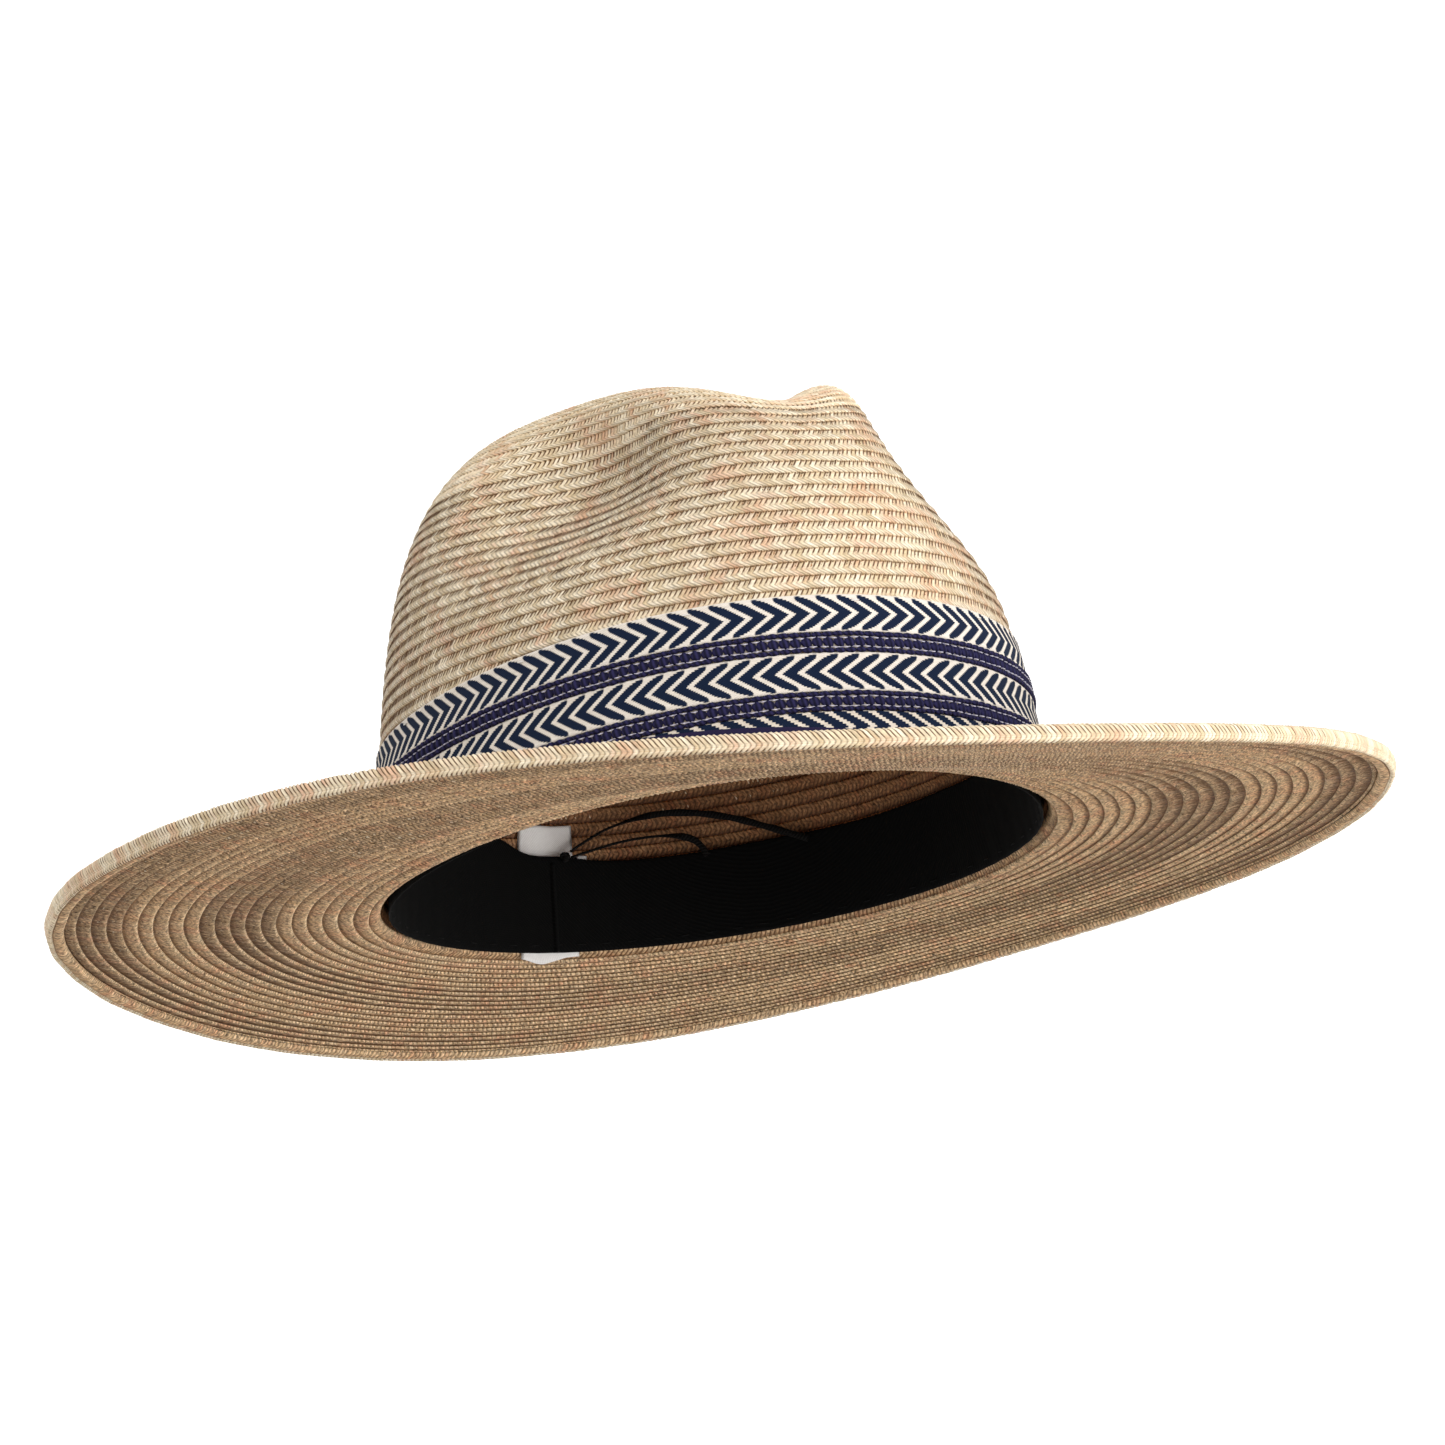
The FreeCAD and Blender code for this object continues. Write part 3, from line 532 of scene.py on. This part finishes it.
# the break between crown and brim is a small curve, 3 mm either side
SOFTEN = 4
padded = np.concatenate([straw[:1]] * SOFTEN + [straw] + [straw[-1:]] * SOFTEN)
weights = [SOFTEN + 1 - abs(k - SOFTEN) for k in range(2 * SOFTEN + 1)]
soft = sum(w * padded[k:k + len(straw)] for k, w in enumerate(weights)) / sum(weights)
straw[SOFTEN:-SOFTEN] = soft[SOFTEN:-SOFTEN]
slope_down = np.gradient(straw, axis=0)
slope_round = np.roll(straw, -1, axis=1) - np.roll(straw, 1, axis=1)
straw_normal = np.cross(slope_down, slope_round)
straw_normal /= np.linalg.norm(straw_normal, axis=-1, keepdims=True) + 1e-12
straw_normal[0] = straw_normal[1].mean(axis=0)


def on_straw(angle, run):
    """Point and outward normal of the straw at an angle and a length down from the tip."""
    a = (angle % TURN) / TURN * ANGLES
    b = np.clip(run / RUN_STEP, 0, len(runs) - 1.001)
    a0 = a.astype(int)
    b0 = b.astype(int)
    fa = (a - a0)[:, None]
    fb = (b - b0)[:, None]
    a0 %= ANGLES
    a1 = (a0 + 1) % ANGLES

    def blend(field):
        upper = field[b0, a0] * (1 - fa) + field[b0, a1] * fa
        lower = field[b0 + 1, a0] * (1 - fa) + field[b0 + 1, a1] * fa
        return upper * (1 - fb) + lower * fb

    normal = blend(straw_normal)
    return blend(straw), normal / np.linalg.norm(normal, axis=1, keepdims=True)


# ---------------------------------------------------------------- straw plait
# Across the plait, millimetres: place across it, height, how far the strands lean along it there,
# how deep the gaps between strands are, and the place in its tones and painted shade. It goes over the
# outer face and back under.
STRAND = 1.33
PLAIT = [
    (0.0, 0.02, 1.20, 0.15, 0.0), (0.5, 0.36, 1.05, 0.10, 0.6), (1.7, 0.42, 0.75, 0.45, 1.8),
    (2.8, 0.40, 0.15, 0.42, 2.9), (3.5, 0.48, -0.35, 0.20, 3.6), (4.2, 0.58, 0.45, 0.20, 4.25),
    (4.8, 0.38, 1.55, 0.18, 5.0), (5.2, -0.20, 2.10, 0.08, 5.7), (4.4, -0.40, 1.90, 0.12, 6.5),
    (3.0, -0.28, 1.00, 0.24, 7.9), (1.8, -0.32, 0.30, 0.22, 9.1), (0.5, -0.47, 1.00, 0.28, 10.4),
]
PLAIT_END = 10.95
CROWN_PITCH = 3.55
BRIM_PITCH = 3.92
PLAIT_TILT = 0.135
# half strands on one piece of plait, which keeps it under 200,000 triangles
MOST_COLUMNS = 8200
# how far the spiral goes on past the crown's foot
ON_BRIM = 80.7

first_turn = 0.3 / CROWN_PITCH
crown_turns = FOOT_RUN / CROWN_PITCH
brim_turns = ON_BRIM / BRIM_PITCH
spiral_turn = np.arange(first_turn, crown_turns + brim_turns, 1 / 180)
spiral_run = np.interp(spiral_turn, [0, crown_turns, crown_turns + brim_turns + 1],
                       [0, FOOT_RUN, FOOT_RUN + ON_BRIM + BRIM_PITCH])
spiral_spots, _ = on_straw(BACK + TURN * spiral_turn, spiral_run)
spiral_length = np.concatenate([[0], np.cumsum(np.linalg.norm(np.diff(spiral_spots, axis=0), axis=1))])


def plait(name, start, stop, section, last_tone, lay, whole):
    """Length of plait from one half strand to another. Every other column is a strand's middle,
    raised, and those between are the gaps, sunk by amounts that vary. whole is how many half
    strands the whole plait has."""
    across, height, lean, gap, tone = (np.array(values) for values in zip(*section))
    rows = len(section)
    tone = np.append(tone, last_tone)
    raised = chance.normal(1.0, 0.25, whole)
    sunk = np.clip(chance.normal(0.9, 0.45, whole), 0.2, 1.6)
    drift = chance.normal(0, 0.07, whole)
    # the way out of the section at each of its corners
    ahead = np.array([np.roll(across, -1) - np.roll(across, 1), np.roll(height, -1) - np.roll(height, 1)])
    way_round = np.sign(np.sum(across * np.roll(height, -1) - height * np.roll(across, -1)))
    outward = way_round * np.array([ahead[1], -ahead[0]]) / np.linalg.norm(ahead, axis=0)

    def place(column, row):
        at = (column + start) % whole
        corner = row % rows
        swell = np.where((column + start) % 2 == 1, 0.45 * raised[at], -sunk[at]) * gap[corner]
        along = (column + start) * STRAND / 2 + lean[corner] + drift[at]
        return lay(along, across[corner] + swell * outward[0, corner],
                   height[corner] + swell * outward[1, corner])

    def weave(column, row):
        return np.stack([column / 2, tone[row]], -1)

    return shaped(name, stop - start, rows, place, weave)


wander_size = chance.normal(0, 0.10, 64)
wander_shift = chance.uniform(0, TURN, 64)


def lay_spiral(along, across, height):
    """Where the spiral of plait puts a point: each row lies on the one below it like a shingle."""
    turn = np.interp(along, spiral_length, spiral_turn)
    angle = BACK + TURN * turn
    start = np.interp(turn, spiral_turn, spiral_run)
    row = (turn.astype(int)) % 64
    shifted = wander_shift[row]
    waver = wander_size[row] * np.sin(5 * angle + shifted) + 0.08 * np.sin(23 * angle + shifted)
    run = start + across + waver * np.sin(math.pi * (turn % 1))
    # the last row tucks in under the rolled edge
    tuck = FOOT_RUN + 79.0
    run = np.where(run > tuck, tuck + 0.3 * (run - tuck), run)
    point, normal = on_straw(angle, run)
    rest = np.interp(start, [FOOT_RUN - 8, FOOT_RUN + 4], [-1.15, -0.60])
    rise = np.interp(run, dome_run, dome_rise)
    covered = np.clip((band_top(angle) - 0.6 - rise) / 2, 0, 1) * np.clip((FOOT_RUN - run) / 3, 0, 1)
    lifted = rest + PLAIT_TILT * across - 0.35 * covered + height
    point = point + normal * lifted[:, None]
    # the front of the brim is pressed up a little beside the opening
    point[:, 2] += 2.7 * np.clip(-np.sin(angle + 0.4), 0, 1) ** 2 * np.interp(
        run, [FOOT_RUN - 6, FOOT_RUN, FOOT_RUN + 5, FOOT_RUN + 26], [0, 1, 1, 0])
    return point


half_strands = int(spiral_length[-1] / (STRAND / 2)) - 4
crown_stop = int(np.interp(crown_turns - 1.5, spiral_turn, spiral_length) / (STRAND / 2))
for label, first, last in (("crown_braid", 0, crown_stop), ("brim_braid", crown_stop, half_strands)):
    parts = math.ceil((last - first) / MOST_COLUMNS)
    for part in range(parts):
        start = first + (last - first) * part // parts
        stop = first + (last - first) * (part + 1) // parts
        piece = plait(f"{label}_rows_{part + 1}", start, stop, PLAIT, PLAIT_END, lay_spiral,
                      half_strands + 8)
        dress(piece, STRAW_SHADED_INSIDE if label == "crown_braid" else STRAW)
        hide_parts(label)

# The plait's cut end is turned under at the crown's tip, where it closes the middle of the first
# turn. Millimetres: length down from the tip, and height.
TUCKED = [(0.02, -1.0), (1.5, -1.1), (3.6, -1.45), (4.6, -1.7), (4.4, -2.0), (1.5, -1.8), (0.02, -1.8)]
TUCKED_COLUMNS = 48


def lay_tucked(column, row):
    run, height = np.array(TUCKED)[row % len(TUCKED)].T
    point, normal = on_straw(TURN * column / TUCKED_COLUMNS, run)
    return point + normal * height[:, None]


def weave_tucked(column, row):
    return np.stack([column / 8, 0.8 + 0.25 * row], -1)


tucked = shaped("crown_braid_tucked_end", TUCKED_COLUMNS, len(TUCKED), lay_tucked, weave_tucked)
dress(tucked, STRAW_SHADED_INSIDE)
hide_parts("crown_braid")

# The brim's last row is the same plait, rolled round the edge over the wire. Millimetres: distance
# in from the edge, height, lean, gap depth and place in the tones and painted shade, from the top's
# inner edge round to the underside's and back inside.
ROLLED = [
    (4.4, 0.55, -1.6, 0.05, 0.3), (3.9, 1.65, -1.4, 0.12, 1.2), (2.4, 2.15, -0.8, 0.18, 1.8),
    (0.9, 2.15, -0.1, 0.28, 2.2), (0.2, 1.60, 0.6, 0.34, 2.4), (0.0, 0.7, 1.2, 0.38, 2.7),
    (0.0, -0.1, 1.8, 0.34, 3.0), (0.15, -0.6, 2.1, 0.10, 3.9), (0.5, -0.9, 2.1, 0.05, 5.5),
    (0.25, -1.25, 1.9, 0.20, 4.0), (0.4, -1.95, 1.2, 0.24, 2.9), (1.1, -2.30, 0.7, 0.18, 2.5),
    (1.55, -1.75, 0.5, 0.05, 5.5), (1.95, -2.05, 0.4, 0.14, 9.0), (3.0, -2.20, 0.0, 0.16, 9.6),
    (4.0, -1.90, -0.4, 0.16, 10.3), (4.6, -1.05, -0.6, 0.10, 10.9), (4.2, -0.85, -0.7, 0.0, 6.6),
    (1.35, -1.15, 0.0, 0.0, 6.6), (1.15, 0.0, 0.0, 0.0, 6.6), (1.35, 1.15, -0.8, 0.0, 6.6),
    (3.4, 0.95, -1.5, 0.0, 6.6),
]
edge_angles = BACK + np.linspace(0, TURN, 2881)
edge_spots, _ = brim(edge_angles, BRIM_WIDTH - BRIM_SHIFT * np.sin(edge_angles))
edge_length = np.concatenate([[0], np.cumsum(np.linalg.norm(np.diff(edge_spots, axis=0), axis=1))])
edge_strands = 2 * round(edge_length[-1] / STRAND)


def lay_rolled(along, short, up):
    """Where the rolled edge puts a point that is this far in from the edge and above its middle."""
    share = along / (edge_strands * STRAND / 2)
    whole = np.floor(share)
    angle = np.interp((share - whole) * edge_length[-1], edge_length, edge_angles)
    ripple = 0.12 * np.sin(17 * angle) + 0.09 * np.sin(41 * angle + 1)
    _, width = brim(angle, 0 * angle)
    point, _ = brim(angle, width - short + ripple)
    point[:, 2] += up
    return point


binding = plait("brim_edge_rolled_plait", 0, edge_strands, ROLLED, 0.3, lay_rolled, edge_strands)
dress(binding, STRAW)
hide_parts("brim_edge_binding")

# ---------------------------------------------------------------- hat band
band_angles = BACK + np.linspace(0, TURN, 1441)
band_spots = wall(band_angles, band_top(band_angles) - 15, 0.5 + 0 * band_angles)
band_length = np.concatenate([[0], np.cumsum(np.linalg.norm(np.diff(band_spots, axis=0), axis=1))])
BAND_ROUND = band_length[-1]


def band_angle(share):
    """Angle of the point this share of the way round the band from the back."""
    whole = np.floor(share)
    return np.interp((share - whole) * BAND_ROUND, band_length, band_angles) + TURN * whole


def ring_strip(name, outline, foot, top, columns, repeats):
    """Tape round the crown. outline has its section as shares of its height and distances out;
    repeats is how many times its pattern goes round."""
    share_up, out = (np.array(values) for values in zip(*outline))
    rows = len(outline)

    def place(column, row):
        angle = band_angle((column % columns) / columns)
        corner = row % rows
        low, high = foot(angle), top(angle)
        return wall(angle, low + (high - low) * share_up[corner], out[corner])

    def weave(column, row):
        angle = band_angle((column % columns) / columns)
        height = np.array(list(share_up) + [share_up[0]])[row] * np.mean(top(angle) - foot(angle))
        return np.stack([repeats * column / columns, height], -1)

    return shaped(name, columns, rows, place, weave)


def below_top(drop):
    """Height this far below the band's top edge, as a function of the angle."""
    return lambda angle: band_top(angle) - drop


def level(height):
    """Height that is the same all round, as a function of the angle."""
    return lambda angle: height + 0 * angle


# a tape has a firm selvedge along each edge and is slightly full between
TAPE = [
    (0.0, 0.20), (0.0, 0.55), (0.03, 0.74), (0.08, 0.78), (0.12, 0.66), (0.3, 0.74), (0.5, 0.78),
    (0.7, 0.74), (0.88, 0.66), (0.92, 0.78), (0.97, 0.74), (1.0, 0.55), (1.0, 0.20), (0.5, 0.18),
]
CHEVRON_PITCH = 5.4
CHEVRONS = round(BAND_ROUND / CHEVRON_PITCH)


def edge_tape_top(angle):
    """Height of the navy tape's top edge, which rides up over the chevrons at the front right."""
    rides_up = 7.95 + 9.0 * np.clip(-np.sin(angle + 0.87), 0, 1) ** 2
    return np.maximum(7.95, np.minimum(rides_up, band_top(angle) - 30.3))


# name, foot, top, material, slot and how far it lies out over the tape beside it
tapes = [
    ("chevron_tape_upper", below_top(9.65), below_top(0.05), UPPER_CHEVRONS, "cream_tape", 0.0),
    ("chevron_tape_lower", below_top(24.85), below_top(14.95), LOWER_CHEVRONS, "cream_tape", 0.0),
    ("chevron_tape_bottom", level(8.05), below_top(29.95), BOTTOM_CHEVRONS, "cream_tape", 0.0),
    ("navy_edge_tape", level(2.1), edge_tape_top, EDGE_TAPE, "navy_tape", 0.4),
]
for label, foot, top, material, slot, over in tapes:
    outline = [(up, out + over) for up, out in TAPE]
    tape = ring_strip(label + "_woven", outline, foot, top, 720, CHEVRONS)
    dress(tape, material)
    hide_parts(label)


def yarn_row(name, material, rise, count, steps, radius, out, tall=1.0, sides=8):
    """Row of crochet or stitching round the band, as one closed strand. radius, out and rise are
    functions of the phase of its stitches, from 0 to 1, and rise of the angle too."""
    columns = count * steps

    def place(column, row):
        stitch = (column % columns) / steps
        phase = stitch % 1
        angle = band_angle(stitch / count)
        turn = TURN * (row % sides) / sides
        thick = radius(phase)
        return wall(angle, rise(angle, phase) + thick * tall * np.sin(turn),
                    out(phase) + thick * np.cos(turn))

    def weave(column, row):
        return np.stack([2 * column / steps, 2 * row / sides], -1)

    piece = shaped(name, columns, sides, place, weave)
    return dress(piece, material)


def bead(thin, full):
    """Thickness of a strand that swells into one bead at each stitch."""
    return lambda phase: thin + (full - thin) * abs(np.sin(math.pi * phase)) ** 0.7


BACKING = [(0.0, 0.16), (0.0, 0.35), (0.25, 0.42), (0.75, 0.42), (1.0, 0.35), (1.0, 0.16)]
for label, top_drop, width in (("crochet_trim_upper", 9.7, 5.2), ("crochet_trim_lower", 24.9, 5.0)):
    middle = top_drop + width / 2
    backing = ring_strip(label + "_backing", BACKING, below_top(top_drop + width - 0.3),
                         below_top(top_drop + 0.3), 360, CHEVRONS)
    dress(backing, CROCHET_BACKING)
    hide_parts(label)
    posts = round(BAND_ROUND / 2.75)
    for edge, side in (("top", 1), ("foot", -1)):
        offset = side * (width / 2 - 0.62)
        yarn_row(f"{label}_{edge}_chain", CROCHET_YARN,
                 lambda angle, phase, offset=offset, side=side: band_top(angle) - middle + offset
                 + 0.12 * side * np.sin(math.pi * phase) + 0.1 * np.sin(27 * angle + side),
                 posts, 8, bead(0.30, 0.76), lambda phase: 0.62 + 0.12 * np.sin(math.pi * phase), tall=0.9)
    yarn_row(f"{label}_posts", CROCHET_YARN,
             lambda angle, phase: band_top(angle) - middle + 0.15 * np.sin(TURN * phase),
             posts, 10, lambda phase: 0.16 + 0.54 * np.sin(math.pi * phase) ** 0.5,
             lambda phase: 0.42 + 0.34 * np.sin(math.pi * phase), tall=1.95)
    for edge, offset, shown in (("upper", 1.05, 1.02), ("lower", -1.35, 1.06)):
        yarn_row(f"{label}_{edge}_stitching", LILAC_THREAD,
                 lambda angle, phase, offset=offset: band_top(angle) - middle + offset
                 + 0.12 * np.sin(43 * angle) - 0.15 * np.cos(TURN * phase), posts, 10,
                 lambda phase: 0.15 + 0 * phase,
                 lambda phase, shown=shown: shown + 0.42 * np.cos(TURN * phase), sides=6)


def back_angle(across):
    """Angle of the point of the back wall this far to the wearer's left of its middle."""
    return BACK - across / CROWN_ACROSS


def back_strip(name, width, thickness, foot, top, out, material, lengthwise=10, upward=30,
               curl=None):
    """Strip of ribbon on the back wall. curl gives extra distance out from the share of the width
    and the height."""
    rows = 2 * lengthwise

    def place(column, row):
        corner = row % rows
        front = corner <= lengthwise
        share = np.where(front, corner, rows - corner) / lengthwise
        angle = back_angle(width * (share - 0.5))
        height = foot(angle) + (top(angle) - foot(angle)) * column / upward
        edge = np.sin(math.pi * np.clip(share, 0.02, 0.98)) ** 0.3
        depth = out + np.where(front, 0.5, -0.5) * thickness * edge
        if curl:
            depth = depth + curl(share, height)
        return wall(angle, height, depth)

    def weave(column, row):
        corner = row % rows
        share = np.where(corner <= lengthwise, corner, rows - corner) / lengthwise
        return np.stack([40 * column / upward / CHEVRON_PITCH, width * share], -1)

    piece = shaped(name, upward, rows, place, weave)
    return dress(piece, material)


def shift(piece, aside):
    """Move a piece's points this far to the wearer's left."""
    for vertex in piece.data.vertices:
        vertex.co.x += aside * MM


keeper = back_strip("band_keeper_ribbon", 9.0, 0.5, level(2.1), below_top(-1.0), 1.75, KEEPER_RIBBON,
                    curl=lambda share, height: -0.2 * np.cos(TURN * share))
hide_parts("band_keeper")


def stitch_row(name, angles, rise, out, length, thickness, material):
    """Short straight stitches along the wall, each a grain of thread."""
    shell = bmesh.new()
    shell.loops.layers.uv.new("weave")
    for angle in angles:
        _, normal = crown_foot(np.array([angle]))
        middle = wall(np.array([angle]), rise(np.array([angle])), np.array([out]))[0] * MM
        heading = math.atan2(normal[0, 0], -normal[0, 1])
        size = Matrix.Diagonal((length / 2, thickness / 2, thickness / 2, 1))
        turn = Matrix.Rotation(heading, 4, "Z") @ Matrix.Rotation(chance.normal(0, 0.06), 4, "Y")
        bmesh.ops.create_uvsphere(shell, u_segments=8, v_segments=6, radius=MM, calc_uvs=True,
                                  matrix=Matrix.Translation(middle) @ turn @ size)
    mesh = bpy.data.meshes.new(name)
    shell.to_mesh(mesh)
    shell.free()
    return dress(as_piece(name, mesh), material)


tacks = stitch_row("band_tack_threads", [TURN * i / 12 for i in range(12)], below_top(1.6), 1.0, 2.4, 0.4,
                   WHITE_THREAD)
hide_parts("band_tack_stitches")

# ---------------------------------------------------------------- sweatband, labels and drawcord
SWEAT = [
    (0.0, -3.45), (0.0, -3.80), (0.03, -4.05), (0.1, -4.1), (0.35, -4.0), (0.6, -3.98), (0.85, -4.0),
    (0.95, -4.1), (0.985, -4.08), (1.0, -3.8), (1.0, -3.5), (0.95, -3.4), (0.5, -3.4), (0.05, -3.4),
]
sweat_share, sweat_out = (np.array(values) for values in zip(*SWEAT))
SWEAT_COLUMNS = 720


def front_lift(angle):
    """How far the sweatband's foot is turned up at the front."""
    return 3.6 * np.clip(-np.sin(angle + 0.3), 0, 1) ** 1.5


def sweat_place(column, row):
    """Points of the sweatband, which puckers a little between its stitches."""
    angle = band_angle((column % SWEAT_COLUMNS) / SWEAT_COLUMNS)
    corner = row % len(SWEAT)
    share = sweat_share[corner]
    pucker = 0.10 * np.sin(29 * angle) * share + 0.07 * np.sin(72 * angle) * (1 - share)
    sag = 0.25 * np.sin(3 * angle + 1) * share
    # the tied cord gathers the top edge: it dips at the knot and stands up to the knot's right
    beside = np.where(np.sin(angle) > 0, CROWN_ACROSS * np.cos(angle), 99.0)
    gather = 7.0 * np.exp(-(((beside + 24) / 10.5) ** 2)) + 1.6 * np.exp(-(((beside + 3) / 10) ** 2))
    lift = (0.2 * np.sin(9 * angle) + gather) * share ** 3
    lift += front_lift(angle) * (1 - share)
    return wall(angle, 0.4 + 23.0 * share + lift, sweat_out[corner] + pucker - abs(sag))


def sweat_weave(column, row):
    """Place in the sweatband's cloth, in millimetres."""
    share = np.array(list(sweat_share) + [sweat_share[0]])[row]
    return np.stack([577 * column / SWEAT_COLUMNS, 23 * share], -1)


sweatband = shaped("sweatband_tape", SWEAT_COLUMNS, len(SWEAT), sweat_place, sweat_weave)
dress(sweatband, SWEATBAND_CLOTH)
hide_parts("sweatband")

seam = back_strip("sweatband_seam_join", 2.2, 0.3, level(0.4), level(23.4), -4.2, SWEATBAND_CLOTH,
                  upward=40, curl=lambda share, height: 0.3 * np.cos(TURN * share) - 0.1)
shift(seam, -3.6)
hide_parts("sweatband_back_seam")
hem = stitch_row("sweatband_hem_threads", [BACK + TURN * (i + 0.5) / 72 for i in range(72)],
                 lambda angle: 2.2 + 0.92 * front_lift(angle), -4.2, 3.0, 0.3, BLACK_THREAD)
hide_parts("sweatband_stitches")


def label_curl(share, height):
    """The care label stands free above the sweatband, except where the drawcord's legs slide up in
    front of it, and turns in at its foot."""
    above = np.clip((height - 23.5) / 10, 0, 1)
    below = np.clip((0.3 - height) / 3.0, 0, 1)
    free = np.clip((0.64 - share) / 0.3, 0, 1)
    return free * -above * (1.3 * above + 0.5 * np.sin(4 * share)) + 1.9 * below ** 1.5


def label_foot(angle):
    """Height of the care label's lower end, which is cut to a blunt point."""
    return -0.5 - 1.5 * np.exp(-((((BACK - angle) * CROWN_ACROSS + 2) / 4.5) ** 2))


label = back_strip("care_label_satin", 17.0, 0.2, label_foot, level(33.5), -2.3, LABEL_SATIN,
                   lengthwise=14, upward=48, curl=label_curl)
shift(label, -4.9)
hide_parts("care_label")
size_tab = back_strip("size_label_satin", 3.4, 0.15, level(22.6), level(25.6), -2.4, LABEL_SATIN,
                      lengthwise=4, upward=8)
shift(size_tab, 5.6)
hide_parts("size_label")

knot_low, knot_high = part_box("drawcord_knot")
knot_middle = (np.array(knot_low) + np.array(knot_high)) / 2 / MM - [0, 0, 0.8]
KNOT_STEPS = 96
KNOT_SIDES = 10


def knot_line(turn):
    """Line of a tied overhand knot, about 2.7 mm across."""
    x = np.sin(turn) + 2 * np.sin(2 * turn)
    y = -np.sin(3 * turn) * 1.25
    z = np.cos(turn) - 2 * np.cos(2 * turn)
    return knot_middle + 0.33 * np.stack([x, y, z], -1)


def knot_place(column, row):
    """Points of the knotted cord's surface."""
    turn = TURN * (column % KNOT_STEPS) / KNOT_STEPS
    centre = knot_line(turn)
    heading = knot_line(turn + 0.01) - knot_line(turn - 0.01)
    heading /= np.linalg.norm(heading, axis=1, keepdims=True)
    outward = centre - knot_middle
    outward -= heading * (outward * heading).sum(1)[:, None]
    outward /= np.linalg.norm(outward, axis=1, keepdims=True)
    side = np.cross(heading, outward)
    roll = TURN * (row % KNOT_SIDES) / KNOT_SIDES
    return centre + 0.45 * np.cos(roll)[:, None] * outward + 0.72 * np.sin(roll)[:, None] * side


knot = shaped("drawcord_knot_tied", KNOT_STEPS, KNOT_SIDES, knot_place,
              lambda column, row: np.stack([column / 3, 6 * row / KNOT_SIDES], -1))
dress(knot, CORD_BRAID, "drawcord_end")
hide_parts("drawcord_knot")

for label, material in (
    ("drawcord_ring", CORD_IN_CHANNEL), ("drawcord_leg_left", CORD_IN_CHANNEL),
    ("drawcord_leg_right", CORD_IN_CHANNEL), ("brim_edge_wire", SPRING_STEEL),
    ("edge_wire_sleeve", SLEEVE_METAL),
):
    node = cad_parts[label]
    node.data.materials.clear()
    node.data.materials.append(material)

# ---------------------------------------------------------------- studio
FLOOR_DROP = -0.5
floor_shell = bmesh.new()
bmesh.ops.create_circle(floor_shell, cap_ends=True, segments=64, radius=4.0,
                        matrix=Matrix.Translation((0, 0, FLOOR_DROP)))
floor_mesh = bpy.data.meshes.new("floor")
floor_shell.to_mesh(floor_mesh)
floor_shell.free()
floor = bpy.data.objects.new("floor", floor_mesh)
bpy.context.scene.collection.objects.link(floor)
paper, _, paper_shader = finish("paper_floor_matt", 0.9, specular=0.1)
paper_shader.inputs["Base Color"].default_value = linear("#DAD8D4")
floor_mesh.materials.append(paper)

world = bpy.data.worlds.new("studio")
world.use_nodes = True
sky = world.node_tree
sky.nodes["Background"].inputs["Color"].default_value = (1, 1, 1, 1)
# a white backdrop up to about 25 degrees, and a dimmer ceiling
way_up = add(sky, "ShaderNodeSeparateXYZ", {"Vector": add(sky, "ShaderNodeTexCoord").outputs["Generated"]})
ceiling = add(sky, "ShaderNodeMapRange", {"Value": way_up.outputs["Z"], "From Min": 0.40, "From Max": 0.55,
                                          "To Min": 1.35, "To Max": 0.55})
sky.links.new(ceiling.outputs[0], sky.nodes["Background"].inputs["Strength"])
bpy.context.scene.world = world


def softbox(name, place, aim, size, power):
    """Square soft light that faces a point."""
    light = bpy.data.lights.new(name, "AREA")
    light.size = size
    light.energy = power
    lamp = bpy.data.objects.new(name, light)
    lamp.location = place
    lamp.rotation_euler = (Vector(aim) - Vector(place)).to_track_quat("-Z", "Y").to_euler()
    bpy.context.scene.collection.objects.link(lamp)


softbox("key", (0.1, -2.4, 0.8), (0, 0, 0.05), 1.2, 33)
softbox("top", (0.2, -0.6, 2.4), (0, 0, 0.05), 1.4, 8)
softbox("below", (0.9, -0.7, -0.55), (0.08, 0.05, 0.0), 0.7, 17)
bpy.context.scene.view_settings.view_transform = "Standard"
